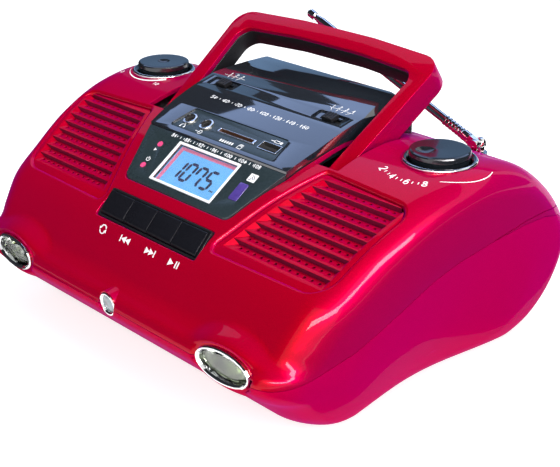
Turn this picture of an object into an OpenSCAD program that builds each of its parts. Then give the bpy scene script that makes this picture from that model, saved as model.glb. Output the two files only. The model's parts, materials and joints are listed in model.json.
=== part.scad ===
// Portable emergency radio: two lofted housing shells, louvred speaker grilles, a raised
// control bridge, piano keys, torch lamps, a folding carry handle and a telescopic aerial.
// +X is the tuning side, -Y the front, +Z up; the origin is the middle of the footprint.

/* [Housing] */
// Overall width of the housing
body_w = 263; // [256:1:272]
// Overall depth of the housing
body_d = 216; // [208:1:226]
// Height of the housing's two shoulders
body_h = 113; // [108:1:120]
// Wall thickness of the moulded shells
wall = 2.4; // [2:0.1:3]
// Width of the rounded shoulder at each end
shoulder_w = 21; // [18:1:26]
// How far the outline draws in over that shoulder
shoulder_in = 19; // [15:1:24]
// Share of the width that the sides lose from top to bottom
side_taper = 0.18; // [0.1:0.01:0.2]
// Height of the rubber feet under the floor
foot_h = 2; // [1:0.5:4]
// Share of the width that the waist takes near the floor
side_waist = 0.06; // [0:0.01:0.08]
// Share of the shoulder's inset that lowers the crown
shoulder_drop = 0.8; // [0.6:0.05:1]
// Radius of each rubber foot
foot_r = 7; // [5:0.5:9]

/* [Speaker grilles] */
// Number of louvres in each grille
louvres = 9; // [6:1:10]
// Depth of each louvre's step
louvre_depth = 2.4; // [1.5:0.1:3]
// Radius of the sound holes
sound_hole_r = 0.85; // [0.6:0.05:1.1]
// Distance between sound holes along a louvre
sound_hole_pitch = 4.6; // [4:0.1:6]
// Thickness of the grille panel
grille_t = 4.2; // [3.8:0.1:5]
// Depth at which the grille panel lies in its recess
grille_sink = 1.6; // [1:0.1:2.5]
// Radius of each speaker's frame
speaker_r = 30; // [26:1:31]

/* [Control bridge] */
// Half width of the bridge at its front edge
bridge_front = 39; // [36:0.5:42]
// Half width of the bridge at its rear edge
bridge_rear = 62; // [58:0.5:62]
// Height of the bridge's rear edge
bridge_h = 126; // [122:0.5:128]
// Width of the display window
lcd_w = 46.4; // [40:0.5:50]
// Height of the display window along the panel
lcd_h = 25.5; // [22:0.5:28]
// Width of the socket strip
strip_w = 78; // [74:1:84]
// Radius of the headphone and line sockets
jack_r = 1.8; // [1.75:0.05:1.9]

/* [Keys] */
// Width of one key
key_w = 18.2; // [16:0.1:19]
// Length of the keys down the slope
key_l = 13; // [11:0.5:14]
// Slope of the key row
key_slope = 46; // [42:1:50]
// Travel of a key
key_travel = 1.5; // [1:0.1:2]

/* [Knobs] */
// Radius of the two knobs
knob_r = 14.5; // [12:0.5:16]
// Height of the knobs over their trim rings
knob_h = 6; // [5:0.5:9]
// Outer radius of the bright trim rings
trim_r = 17.8; // [16.5:0.1:20]
// Radius of the knob shafts
shaft_r = 3; // [2.5:0.1:3.5]

/* [Torch lamps] */
// Half width of a lamp's bezel
lamp_rx = 17.1; // [14:0.1:18]
// Half height of a lamp's bezel
lamp_rz = 8.6; // [7:0.1:9.5]
// Depth of the lamp reflectors
lamp_depth = 16; // [12:1:20]
// Radius of the small middle lamp
mid_lamp_r = 6; // [5:0.5:7]

/* [Handle] */
// Slope at which the handle rests
handle_slope = 34.6; // [32:0.2:38]
// Length of the handle's arms from the pivot
handle_len = 83; // [76:1:88]
// Width of the handle's face
handle_face = 10; // [9:0.5:12]
// Thickness of the handle
handle_t = 13; // [11:0.5:14]
// Radius of the handle's pivot pins
pin_r = 2.5; // [2:0.1:3]

/* [Aerial] */
// Radius of the outermost aerial tube
aerial_r = 2.3; // [2.1:0.05:2.6]
// Length of the outermost aerial tube
aerial_len = 118; // [100:1:130]
// Slope at which the aerial lies
aerial_slope = 21.3; // [20:0.1:40]

/* [Clearances] */
// Running clearance of shafts, pins and sliding tubes
run_gap = 0.05; // [0.02:0.01:0.09]
// Clearance between separate mouldings
part_gap = 0.3; // [0.2:0.05:0.4]

/* [Hidden] */

// ---------- Curves ----------
function unit(v) = v / norm(v);
function turn(a) = a > 180 ? a - 360 : a < -180 ? a + 360 : a;
// Arc of n steps that rounds the corner a-b-c
function corner_arc(a, b, c, r, n) =
    let (u = unit(a - b), w = unit(c - b), h = acos(u * w) / 2,
         mid = b + unit(u + w) * r / sin(h),
         p = b + u * r / tan(h) - mid, q = b + w * r / tan(h) - mid,
         a0 = atan2(p[1], p[0]), da = turn(atan2(q[1], q[0]) - a0))
    [for (k = [0:n]) mid + r * [cos(a0 + da * k / n), sin(a0 + da * k / n)]];
// Outline with each corner [x, y, radius] rounded
function rounded(pts, n = 6) =
    [for (i = [0:len(pts) - 1])
        let (a = pts[(i + len(pts) - 1) % len(pts)], b = pts[i], c = pts[(i + 1) % len(pts)])
        each b[2] == 0 ? [[b[0], b[1]]]
            : corner_arc([a[0], a[1]], [b[0], b[1]], [c[0], c[1]], b[2], n)];
function rounded_box(w, h, r) =
    rounded([[-w / 2, -h / 2, r], [w / 2, -h / 2, r], [w / 2, h / 2, r], [-w / 2, h / 2, r]]);
// Point of the smooth curve through p0..p3, at t between p1 and p2
function blend_point(p0, p1, p2, p3, t) =
    0.5 * (2 * p1 + (p2 - p0) * t + (2 * p0 - 5 * p1 + 4 * p2 - p3) * t * t
        + (3 * p1 - p0 - 3 * p2 + p3) * t * t * t);
function smooth_loop(p, n) =
    [for (i = [0:len(p) - 1], k = [0:n - 1])
        blend_point(p[(i + len(p) - 1) % len(p)], p[i], p[(i + 1) % len(p)],
            p[(i + 2) % len(p)], k / n)];
// Closed outline moved inwards by d along its own normals (outline runs clockwise)
function inward(p, d) =
    [for (i = [0:len(p) - 1])
        let (s = unit(p[(i + 1) % len(p)] - p[(i + len(p) - 1) % len(p)]))
        p[i] + d * [s[1], -s[0]]];

// ---------- Housing outline ----------
half_d = body_d / 2;
floor_z = foot_h;
fy = half_d / 108;
fz = (body_h - floor_z) / 111;
function at(y, z) = [y * fy, floor_z + (z - 2) * fz];
// Side outline: bar nose, front slope, crown, rear bulge and floor
outline_points = [
    at(-108, 39), at(-106.3, 45), at(-101, 48.5), at(-97, 52), at(-92.5, 59), at(-83, 71.5),
    at(-68, 82.5), at(-46, 97), at(-20, 108.2), at(8, 113), at(32, 110.5), at(54, 103),
    at(76, 88.5), at(94, 72), at(105, 57), at(108, 40), at(104, 22), at(93, 9), at(77, 2.8),
    at(64, 2), at(57, 2), at(28, 2), at(0, 2), at(-28, 2), at(-53, 2), at(-60, 2.1), at(-71, 5),
    at(-85, 14), at(-97, 27), at(-104, 33)];
outline_steps = 3;
outline = smooth_loop(outline_points, outline_steps);
crown_count = 14 * outline_steps;
crown_table = [for (i = [0:crown_count]) outline[i]];
// Height and slope of the housing's crown at a given y
function crown_z(y) = lookup(y, crown_table);
function crown_slope(y) = atan2(crown_z(y + 1) - crown_z(y - 1), 2);

// ---------- Loft ----------
draw_y = 4 * fy;
draw_z = floor_z + 18 * fz;
crown_rise = 2.2;
cap_in = 46;
function low(z) = (floor_z + 111 * fz - z) / (111 * fz);
function taper(z) = 1 - side_taper * low(z);
// The sides draw in a little between front and rear, most of all near the floor
function waist(y, z) = abs(y) < 70 ? 1 - side_waist * pow(low(z), 2) * (1 + cos(180 * y / 70)) / 2 : 1;
// One ring of the loft: side, reach along X and inset of the outline
function ring(p, reach, inset) =
    [for (q = p)
        let (y = draw_y + (q[0] - draw_y) * (1 - inset / half_d),
             z = draw_z + (q[1] - draw_z) * (1 - shoulder_drop * inset / (body_h - draw_z)))
        [reach * taper(z) * waist(y, z), y, z]];
// Half width of the side panels before the taper, so that the shoulders reach body_w
shoulder_z = body_h - shoulder_drop * shoulder_in;
full_half = body_w / 2 / taper(shoulder_z) + crown_rise;
module loft(p, less, steps) {
    stations = concat(
        [for (k = [0:steps])
            let (a = 84 * k / steps)
            [full_half - less - crown_rise - shoulder_w + shoulder_w * sin(a),
                shoulder_in * (1 - cos(a))]],
        [[full_half - less - crown_rise * 0.3, (shoulder_in + cap_in) / 2],
            [full_half - less, cap_in]]);
    n = len(p);
    m = len(stations);
    all = concat([for (k = [m - 1:-1:0]) [for (v = ring(p, -stations[k][0], stations[k][1])) v]],
        [for (k = [0:m - 1]) [for (v = ring(p, stations[k][0], stations[k][1])) v]]);
    polyhedron([for (r = all) each r],
        concat([[for (i = [n - 1:-1:0]) i]], [[for (i = [0:n - 1]) (2 * m - 1) * n + i]],
            [for (r = [0:2 * m - 2], i = [0:n - 1])
                let (j = (i + 1) % n)
                each [[r * n + i, (r + 1) * n + j, (r + 1) * n + i],
                    [r * n + i, r * n + j, (r + 1) * n + j]]]));
}
module housing_outside() { loft(outline, 0, 6); }
inner_outline = inward([for (i = [0:2:len(outline) - 1]) outline[i]], wall);
module housing_inside() { loft(inner_outline, wall, 3); }

// ---------- Parting line between the shells ----------
seam_line = [at(-125, 40.5), at(-104, 40.8), at(-84, 43.5), at(-63, 48), at(-40, 57.5), at(-15, 68.5),
    at(0, 72.5), at(24, 76), at(48, 77), at(66, 75.5), at(82, 71), at(96, 62), at(125, 50)];
module above_seam(gap) {
    rotate([90, 0, 90]) linear_extrude(height = 2 * body_w, center = true)
        polygon(concat([for (q = seam_line) q + [0, gap]],
            [[half_d * 2, body_h * 2], [-half_d * 2, body_h * 2]]));
}

// ---------- Places on the housing ----------
// Children stand on the crown at y, their z along its normal
module on_crown(y) { translate([0, y, crown_z(y)]) rotate([crown_slope(y), 0, 0]) children(); }
// Slab of thickness t under the crown, lowered by sink, between y0 and y1
module crown_slab(y0, y1, sink, t, w, n = 12) {
    ys = [for (i = [0:n]) y0 + (y1 - y0) * i / n];
    top = [for (y = ys) let (a = crown_slope(y)) [y + sink * sin(a), crown_z(y) - sink * cos(a)]];
    low = [for (y = ys) let (a = crown_slope(y))
        [y + (sink + t) * sin(a), crown_z(y) - (sink + t) * cos(a)]];
    rotate([90, 0, 90]) linear_extrude(height = w, center = true)
        polygon(concat(top, [for (i = [n:-1:0]) low[i]]));
}
module both_sides() { children(); mirror([1, 0, 0]) children(); }

// ---------- Speaker grilles ----------
grille_front = -78 * fy;
grille_back = -25 * fy;
grille_in_front = bridge_front + 2;
grille_in_back = bridge_rear + 3.5;
grille_out_front = body_w / 2 - 19;
grille_out_back = body_w / 2 - 11;
grille_corners = [[grille_in_front, grille_front, 3], [grille_out_front, grille_front + 1, 13],
    [grille_out_back, grille_back - 3, 7], [grille_in_back, grille_back, 3]];
function grown(c, d) = [for (i = [0:3])
    [c[i][0] + (i == 1 || i == 2 ? d : -d), c[i][1] + (i < 2 ? -d : d), max(0.5, c[i][2] + d)]];
function grille_edge(y, a, b) = a[0] + (b[0] - a[0]) * (y - a[1]) / (b[1] - a[1]);
function grille_inner_x(y) = grille_edge(y, grille_corners[0], grille_corners[3]);
function grille_outer_x(y) = grille_edge(y, grille_corners[1], grille_corners[2]);
module grille_outline(d) {
    translate([0, 0, -body_h]) linear_extrude(height = 3 * body_h)
        polygon(rounded(grown(grille_corners, d)));
}
louvre_edge = 4;
first_y = grille_front + louvre_edge;
last_y = grille_back - louvre_edge;
// Louvre lips are evenly spaced along the crown
crown_run = [for (i = [0:24]) let (y = first_y + (last_y - first_y) * i / 24) [y, crown_z(y)]];
function run_to(i) = i == 0 ? 0 : run_to(i - 1) + norm(crown_run[i] - crown_run[i - 1]);
run_table = [for (i = [0:24]) [run_to(i), crown_run[i][0]]];
run_length = run_table[24][0];
function lip_y(k) = lookup(run_length * k / louvres, run_table);
function sunk(y, d) = [y + d * sin(crown_slope(y)), crown_z(y) - d * cos(crown_slope(y))];
ramp = 3.2;
rim = 3;
// Wedge-shaped groove of louvre k: a shallow board below its upper riser, ramped at both ends
module groove(k) {
    a = sunk(lip_y(k), grille_sink - 0.01);
    b = sunk(lip_y(k + 1), grille_sink - 0.01);
    c = sunk(lip_y(k + 0.84), grille_sink + louvre_depth);
    up = 2 * unit([-sin(crown_slope(lip_y(k))), cos(crown_slope(lip_y(k)))]);
    x0 = grille_inner_x(a[0]) + rim;
    x1 = grille_inner_x(b[0]) + rim;
    x2 = grille_outer_x(a[0]) - rim;
    x3 = grille_outer_x(b[0]) - rim;
    lo = [[x0, a], [x2, a], [x3, b], [x1, b]];
    polyhedron(
        concat([for (q = lo) [q[0], q[1][0], q[1][1]]],
            [[x1 + ramp, c[0], c[1]], [x3 - ramp, c[0], c[1]]],
            [for (q = lo) [q[0], q[1][0] + up[0], q[1][1] + up[1]]]),
        [[6, 9, 8, 7], [0, 6, 7, 1], [3, 2, 8, 9], [1, 7, 8, 2], [3, 9, 6, 0], [0, 1, 5, 4],
            [4, 5, 2, 3], [0, 4, 3], [1, 2, 5]]);
}
module sound_holes(k) {
    y = lip_y(k + 0.5);
    x0 = grille_inner_x(y) + rim + ramp + 1.5;
    x1 = grille_outer_x(y) - rim - ramp - 1.5;
    n = floor((x1 - x0) / sound_hole_pitch);
    for (i = [0:n])
        translate([x1 - i * sound_hole_pitch, y, crown_z(y)]) rotate([crown_slope(y), 0, 0])
            cylinder(r = sound_hole_r, h = 30, center = true, $fn = 16);
}
module grille() {
    color("crimson") difference() {
        intersection() {
            crown_slab(grille_front - 8, grille_back + 8, grille_sink, grille_t, 3 * body_w);
            grille_outline(-part_gap);
        }
        for (k = [0:louvres - 1]) groove(k);
        for (k = [0:louvres - 1]) sound_holes(k);
    }
}
module right_grille() { grille(); }
module left_grille() { mirror([1, 0, 0]) grille(); }

// ---------- Speakers ----------
speaker_x = (grille_in_front + grille_in_back + grille_out_front + grille_out_back) / 4 - 2;
speaker_mid = (grille_front + grille_back) / 2;
slab_drop = (grille_sink + grille_t + part_gap) / cos(crown_slope(speaker_mid));
function back_z(y) = crown_z(y) - slab_drop - 1.2;
speaker_slope = atan2(back_z(speaker_mid + speaker_r * 0.77) - back_z(speaker_mid - speaker_r * 0.77),
    1.54 * speaker_r);
speaker_z = (back_z(speaker_mid + speaker_r * 0.77) + back_z(speaker_mid - speaker_r * 0.77)) / 2;
magnet_r = speaker_r * 0.5;
module at_speaker(side) {
    translate([side * speaker_x, speaker_mid, speaker_z]) rotate([speaker_slope, 0, 0]) children();
}
module speaker(side) {
    color("dimgray") at_speaker(side) rotate_extrude($fn = 48)
        polygon([[0, -29], [magnet_r, -29], [magnet_r, -18], [magnet_r + 3, -16], [speaker_r - 4, -3],
            [speaker_r, -3], [speaker_r, -1.2], [speaker_r - 5, -1.2], [speaker_r - 6, -3],
            [magnet_r, -14.5], [0, -14.5]]);
}
module left_speaker() { speaker(-1); }
module right_speaker() { speaker(1); }
module speaker_cones() {
    color("#202020") for (side = [-1, 1]) at_speaker(side) rotate_extrude($fn = 48)
        polygon([[0, -10], [5, -12.5], [8, -12.5], [speaker_r - 9, -3], [speaker_r - 7, -2.2],
            [speaker_r - 5.5, -1.1], [speaker_r - 1, -1.1], [speaker_r - 1, -0.3],
            [speaker_r - 6.5, -0.3], [speaker_r - 9.5, -2], [8, -11.3], [5, -9.2], [0, -8.6]]);
}

// ---------- Control bridge ----------
display_slope = 34;
display_front = -64.3 * fy;
display_back = -37 * fy;
display_front_z = crown_z(display_front) + 0.5;
display_back_z = display_front_z + (display_back - display_front) * tan(display_slope);
bridge_split = bridge_rear - 11;
panel_t = 5;
panel_drop = panel_t / cos(display_slope);
display_y = (display_front + display_back) / 2;
display_z = (display_front_z + display_back_z) / 2;
module on_display() { translate([0, display_y, display_z]) rotate([display_slope, 0, 0]) children(); }
skirt = 5;
display_corners = [[-bridge_front, display_front, 5], [bridge_front, display_front, 5],
    [bridge_split, display_back - part_gap, 0], [-bridge_split, display_back - part_gap, 0]];
module display_panel() {
    color("#15191c") difference() {
        intersection() {
            rotate([90, 0, 90]) linear_extrude(height = 2 * bridge_rear, center = true)
                polygon([[display_front, display_front_z], [display_back, display_back_z],
                    [display_back, display_back_z - panel_drop],
                    [display_front, display_front_z - panel_drop]]);
            linear_extrude(height = 2 * body_h) polygon(rounded(display_corners));
        }
        on_display() {
            translate([-lcd_w / 2 - 0.1, -lcd_h / 2 - 0.1, -0.9]) cube([lcd_w + 0.2, lcd_h + 0.2, 5]);
            translate([-lcd_w / 2 + 1, -lcd_h / 2 + 1, -10]) cube([lcd_w - 2, lcd_h - 2, 20]);
            for (p = led_places) translate([p[0], p[1], -10]) cylinder(r = led_r + 0.1, h = 20, $fn = 24);
            translate([ir_x, ir_v, 0]) linear_extrude(height = 20, center = true)
                polygon(rounded_box(ir_w + 0.2, ir_l + 0.2, 1));
        }
    }
}
frame_bar = 1.3;
module lcd_bezel() {
    color("white") on_display() translate([0, 0, -0.9]) difference() {
        linear_extrude(height = 1.2) polygon(rounded_box(lcd_w, lcd_h, 0.6));
        translate([0, 0, -1]) linear_extrude(height = 4)
            polygon(rounded_box(lcd_w - 2 * frame_bar, lcd_h - 2 * frame_bar, 0.4));
    }
}
module lcd_window() {
    color("lightcyan", 0.3) on_display() translate([0, 0, -0.8]) linear_extrude(height = 0.5)
        polygon(rounded_box(lcd_w - 2 * frame_bar - 0.1, lcd_h - 2 * frame_bar - 0.1, 0.4));
}
module lcd_module() {
    color("deepskyblue") on_display() translate([0, 0, -panel_t - 0.1]) {
        translate([0, 0, 1.5]) cube([lcd_w - 2.4, lcd_h - 2.4, 3], center = true);
        translate([0, -1.2, -0.8]) cube([lcd_w + 8, lcd_h - 1, 1.6], center = true);
    }
}
led_r = 1.6;
led_places = [[-34, 7.2], [-33.5, -7.2]];
module indicator_leds() {
    color("hotpink") on_display() for (p = led_places) translate([p[0], p[1], 0]) {
        translate([0, 0, -panel_t - 0.2]) cylinder(r = led_r, h = panel_t + 0.4, $fn = 24);
        translate([0, 0, -panel_t - 1.1]) cylinder(r = led_r + 0.5, h = 1, $fn = 24);
    }
}
ir_x = 33.5;
ir_v = -1.2;
ir_w = 6;
ir_l = 10.5;
module ir_window() {
    color("indigo") on_display() translate([ir_x, ir_v, -3]) linear_extrude(height = 3.2)
        polygon(rounded_box(ir_w, ir_l, 0.9));
}
// Side curve of the bridge from its front step to its rear edge
bridge_back = 41.5 * fy;
bridge_start_z = display_back_z + 1;
bridge_bend = 3.7;
function bridge_z(y) =
    let (t = (y - display_back) / (bridge_back - display_back))
    bridge_start_z + (bridge_h - bridge_start_z) * t + 4 * bridge_bend * t * (1 - t);
function bridge_slope(y) = atan2(bridge_z(y + 1) - bridge_z(y - 1), 2);
module bridge_curve(y0, y1, lower, under) {
    n = 12;
    ys = [for (i = [0:n]) y0 + (y1 - y0) * i / n];
    rotate([90, 0, 90]) linear_extrude(height = 3 * bridge_rear, center = true)
        polygon(concat([for (y = ys) [y, bridge_z(y) - lower]],
            [for (i = [n:-1:0]) [ys[i], crown_z(ys[i]) - under]]));
}
arm_in = 56.9;
bridge_half = [[bridge_split, display_back, 0], [arm_in - 3.2, -20, 12], [arm_in - 1, 24, 10],
    [bridge_rear, bridge_back - 6, 5], [bridge_rear, bridge_back, 3]];
function mirrored(p) = concat(p, [for (i = [len(p) - 1:-1:0]) [-p[i][0], p[i][1], p[i][2]]]);
module bridge_plan(d) {
    s = (bridge_rear - d) / bridge_rear;
    linear_extrude(height = 2 * body_h)
        polygon(rounded([for (q = mirrored(bridge_half))
            [q[0] * s, q[1] + (q[1] < 0 ? d : -d), max(0, q[2] - d)]]));
}
// Arch that rounds the bridge's shoulders down towards its sides
shoulder_low = 11.5;
module bridge_arch(d) {
    x1 = bridge_rear - 20;
    rotate([90, 0, 0]) linear_extrude(height = 2 * body_d, center = true)
        polygon(concat([[-bridge_rear, 0], [bridge_rear, 0]],
            [for (k = [0:8]) let (x = bridge_rear - 20 * k / 8)
                [x, bridge_h + 0.4 - d - shoulder_low * pow((x - x1) / 20, 2)]],
            [for (k = [8:-1:0]) let (x = bridge_rear - 20 * k / 8)
                [-x, bridge_h + 0.4 - d - shoulder_low * pow((x - x1) / 20, 2)]]));
}
strip_y = -27 * fy;
strip_l = 16.4;
module on_strip() {
    translate([0, strip_y, bridge_z(strip_y)]) rotate([bridge_slope(strip_y), 0, 0]) children();
}
switch_x = 39.5;
switch_y = 4;
module on_switch(side) {
    translate([side * switch_x, switch_y, bridge_z(switch_y)])
        rotate([bridge_slope(switch_y), 0, 0]) children();
}
bridge_t = 2.2;
strip_corners = [[-strip_w / 2, -strip_l / 2, 2], [strip_w / 2, -strip_l / 2, 2],
    [strip_w / 2 - 4, strip_l / 2, 2], [-strip_w / 2 + 4, strip_l / 2, 2]];
module bridge_cover() {
    color("#2a3036") difference() {
        intersection() {
            bridge_curve(display_back, bridge_back, 0, skirt);
            bridge_plan(0);
            bridge_arch(0);
        }
        intersection() {
            bridge_curve(display_back - 5, bridge_back + 5, bridge_t, skirt + 5);
            bridge_plan(bridge_t);
            bridge_arch(bridge_t);
        }
        on_strip() linear_extrude(height = 20, center = true) polygon(rounded(strip_corners));
        for (side = [-1, 1]) on_switch(side) {
            translate([0, 0, 9 - 1.2]) linear_extrude(height = 18, center = true)
                polygon(rounded_box(switch_pocket, 8, 1.5));
            cube([switch_pocket - 8, 2.8, 20], center = true);
        }
    }
}
switch_pocket = 21;
module slide_switch(side) {
    color("black") on_switch(side) {
        translate([-3.6, -2.8, -0.9]) cube([7.2, 5.6, 2.1]);
        translate([-1.5, -1.1, -5]) cube([3, 2.2, 4.5]);
        for (i = [-1:1]) translate([i * 1.8 - 0.4, -2.8, 1]) cube([0.8, 5.6, 0.6]);
    }
}
module function_switch() { slide_switch(-1); }
module band_switch() { slide_switch(1); }
module switch_bodies() {
    color("silver") for (side = [-1, 1]) on_switch(side) difference() {
        translate([-9, -4, -8]) cube([18, 8, 5.6]);
        translate([-6.5, -1.4, -5.3]) cube([13, 2.8, 10]);
    }
}
module jack_strip() {
    color("#15191c") on_strip() difference() {
        translate([0, 0, -2.4]) linear_extrude(height = 1.8)
            polygon(rounded([for (i = [0:3]) [strip_corners[i][0] * (1 - 0.15 / 39),
                strip_corners[i][1] * (1 - 0.15 / 8), strip_corners[i][2]]]));
        for (x = jack_places) translate([x, 0, -10]) cylinder(r = barrel_r + 0.1, h = 20, $fn = 32);
        translate([card_x, 0, 0]) cube([card_w + 0.2, 3.2, 20], center = true);
        translate([usb_x, 0, 0]) cube([usb_w + 0.2, usb_l + 0.2, 20], center = true);
    }
}
barrel_r = 3;
jack_places = [-30.9, -18.1];
strip_top = -0.6;
jack_len = 15;
module jack(x) {
    color("gainsboro") on_strip() translate([x, 0, 0]) difference() {
        union() {
            translate([0, 0, strip_top]) cylinder(r = barrel_r + 1, h = 0.9, $fn = 48);
            translate([0, 0, -4]) cylinder(r = barrel_r, h = 4, $fn = 48);
            translate([-5, -5, -jack_len]) cube([10, 10, jack_len - 2.5]);
        }
        translate([0, 0, -jack_len + 1.5]) cylinder(r = jack_r, h = jack_len + 5, $fn = 48);
    }
}
module phones_jack() { jack(jack_places[0]); }
module aux_jack() { jack(jack_places[1]); }
card_x = 4.7;
card_w = 27.4;
module card_socket() {
    color("silver") on_strip() translate([card_x, 0, 0]) difference() {
        union() {
            translate([-card_w / 2, -1.5, -4]) cube([card_w, 3, 3.6]);
            translate([-card_w / 2 - 1, -3, -24]) cube([card_w + 2, 6, 21.5]);
        }
        translate([-12.3, -1.15, -22.5]) cube([24.6, 2.3, 30]);
    }
}
usb_x = 28.8;
usb_w = 13.2;
usb_l = 5.8;
module usb_socket() {
    color("gainsboro") on_strip() translate([usb_x, 0, 0]) {
        difference() {
            translate([-usb_w / 2, -usb_l / 2, -16]) cube([usb_w, usb_l, 15.8]);
            translate([-usb_w / 2 + 0.4, -usb_l / 2 + 0.4, -14]) cube([usb_w - 0.8, usb_l - 0.8, 20]);
        }
        translate([-5.5, -0.3, -14.5]) cube([11, 1.9, 12.5]);
    }
}

// ---------- Keys ----------
key_gap = 0.3;
key_pitch = key_w + key_gap;
key_row_y = -78.3 * fy;
key_row_z = crown_z(key_row_y) + 0.9;
module on_keys() { translate([0, key_row_y, key_row_z]) rotate([key_slope, 0, 0]) children(); }
key_count = 4;
row_w = key_count * key_pitch - key_gap;
frame_wall = 1.2;
frame_w = row_w + 2 * (key_gap + frame_wall);
frame_l = key_l + 2 * (key_gap + frame_wall);
key_deep = 7;
module key_frame() {
    color("#0c0c0e") on_keys() difference() {
        translate([0, 0, -key_deep]) linear_extrude(height = key_deep - 0.9)
            polygon(rounded_box(frame_w, frame_l, 1.2));
        translate([-row_w / 2 - key_gap, -key_l / 2 - key_gap, -key_deep + 1.2])
            cube([row_w + 2 * key_gap, key_l + 2 * key_gap, key_deep]);
        for (i = [0:key_count - 1]) translate([key_x(i), 0, -key_deep])
            cube([5, 5, 10], center = true);
    }
}
function key_x(i) = (i - (key_count - 1) / 2) * key_pitch;
module key(i) {
    color("#101014") on_keys() translate([key_x(i), 0, 0]) {
        rotate([90, 0, 90]) linear_extrude(height = key_w, center = true)
            polygon([[-key_l / 2, -3.6], [-key_l / 2, -1.6], [-key_l / 2 + 0.5, -0.7],
                [-key_l / 2 + 1.5, -0.1], [-key_l / 2 + 3, 0], [key_l / 2 - 0.5, 0],
                [key_l / 2, -0.5], [key_l / 2, -3.6]]);
        translate([-2, -2, -key_deep - 1]) cube([4, 4, key_deep - 2]);
    }
}
module key_1() { key(0); }
module key_2() { key(1); }
module key_3() { key(2); }
module key_4() { key(3); }
board_drop = key_deep + 1 + key_travel + 0.3;
tact_h = 3;
module key_board() {
    color("darkgreen") on_keys() {
        translate([0, 0, -board_drop - tact_h - 0.8]) cube([row_w, key_l - 1, 1.6], center = true);
        for (i = [0:key_count - 1]) translate([key_x(i), 0, -board_drop - tact_h]) {
            translate([-3, -3, 0]) cube([6, 6, tact_h - 0.8]);
            cylinder(r = 1.7, h = tact_h, $fn = 24);
        }
        for (x = [-1, 1]) translate([x * (row_w / 2 - 2), 0, -board_drop - tact_h])
            translate([-1.5, -3, 0]) cube([3, 6, board_drop + tact_h - key_deep - 0.2]);
    }
}

// ---------- Knobs ----------
knob_x = body_w / 2 - 29.7;
knob_y = 12.5;
trim_seat = body_h - 1.2;
trim_top = trim_seat + 1.8;
cup_r = trim_r - 1;
cup_floor = body_h - 10;
module at_knob(side) { translate([side * knob_x, knob_y, 0]) children(); }
module trim_ring(side) {
    color("gainsboro") at_knob(side) rotate_extrude($fn = 64)
        polygon([[trim_r - 2.9, cup_floor + 3], [cup_r - part_gap, cup_floor + 3],
            [cup_r - part_gap, trim_seat], [trim_r, trim_seat], [trim_r, trim_top - 0.7],
            [trim_r - 0.5, trim_top - 0.1], [trim_r - 1.2, trim_top], [trim_r - 1.9, trim_top - 0.3],
            [trim_r - 2.9, trim_top - 1.6]]);
}
module volume_trim() { trim_ring(-1); }
module tuning_trim() { trim_ring(1); }
knob_top = trim_top + 4.2;
knob_low = knob_top - knob_h;
module knob(side, dimple, dimple_r) {
    color("#0e1013") at_knob(side) difference() {
        union() {
            rotate_extrude($fn = 72)
                polygon([[0, knob_low], [knob_r - 0.5, knob_low], [knob_r - 0.4, knob_top - 3.4],
                    [knob_r - 0.9, knob_top - 3.1], [knob_r - 0.9, knob_top - 2.8],
                    [knob_r, knob_top - 2.5], [knob_r, knob_top - 0.9],
                    [knob_r - 0.3, knob_top - 0.35], [knob_r - 1, knob_top - 0.05],
                    [knob_r - 2.2, knob_top], [0, knob_top - 0.3]]);
            translate([0, 0, cup_floor - 8])
                cylinder(r = shaft_r, h = knob_low - cup_floor + 9, $fn = 48);
        }
        translate([dimple[0], dimple[1], knob_top + dimple_r * 0.72]) sphere(r = dimple_r, $fn = 48);
    }
}
module volume_knob() { knob(-1, [0, 0], 5.5); }
module tuning_knob() { knob(1, [-3.5, -6], 7); }
module pot_body(side, r, h) {
    difference() {
        at_knob(side) union() {
            translate([0, 0, cup_floor - 2 - h]) cylinder(r = r, h = h, $fn = 48);
            translate([0, 0, cup_floor - 3]) cylinder(r = shaft_r + 1.3, h = 7.5, $fn = 48);
        }
        at_knob(side) translate([0, 0, cup_floor - 8.5])
            cylinder(r = shaft_r + run_gap, h = 20, $fn = 48);
    }
}
module volume_pot() { color("silver") pot_body(-1, 9, 10); }
module tuning_capacitor() {
    color("whitesmoke") difference() {
        union() {
            at_knob(1) translate([-10, -10, cup_floor - 14]) cube([20, 20, 12]);
            at_knob(1) translate([0, 0, cup_floor - 3]) cylinder(r = shaft_r + 1.3, h = 7.5, $fn = 48);
        }
        at_knob(1) translate([0, 0, cup_floor - 8.5]) cylinder(r = shaft_r + run_gap, h = 20, $fn = 48);
    }
}

// ---------- Torch lamps ----------
lamp_x = body_w / 2 - 48.5;
lamp_y = 2.4 - half_d;
lamp_z = 41.5;
lamp_yaw = 3;
// Lamp frame: z points out of the lamp, x along its width, y up
module at_lamp(side) {
    translate([side * lamp_x, lamp_y, lamp_z]) rotate([90, 0, side * lamp_yaw]) children();
}
function oval(rx, ry, n = 24) = [for (k = [0:n - 1]) [rx * cos(360 * k / n), ry * sin(360 * k / n)]];
// Solid of revolution-like rings: each row is [rx, ry, z]; the first and last row are joined
module oval_ring(rows, n = 24) {
    m = len(rows);
    polyhedron([for (r = rows) each [for (q = oval(r[0], r[1], n)) [q[0], q[1], r[2]]]],
        [for (r = [0:m - 1], i = [0:n - 1])
            let (a = r * n, b = ((r + 1) % m) * n, j = (i + 1) % n)
            each [[a + i, b + i, b + j], [a + i, b + j, a + j]]]);
}
module oval_plug(rows, n = 24) {
    m = len(rows);
    polyhedron([for (r = rows) each [for (q = oval(r[0], r[1], n)) [q[0], q[1], r[2]]]],
        concat([[for (i = [0:n - 1]) i]], [[for (i = [n - 1:-1:0]) (m - 1) * n + i]],
            [for (r = [0:m - 2], i = [0:n - 1])
                let (a = r * n, b = (r + 1) * n, j = (i + 1) % n)
                each [[a + i, b + i, b + j], [a + i, b + j, a + j]]]));
}
lip = 2.1;
lamp_step = 1.2;
lamp_fit = 0.15;
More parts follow.
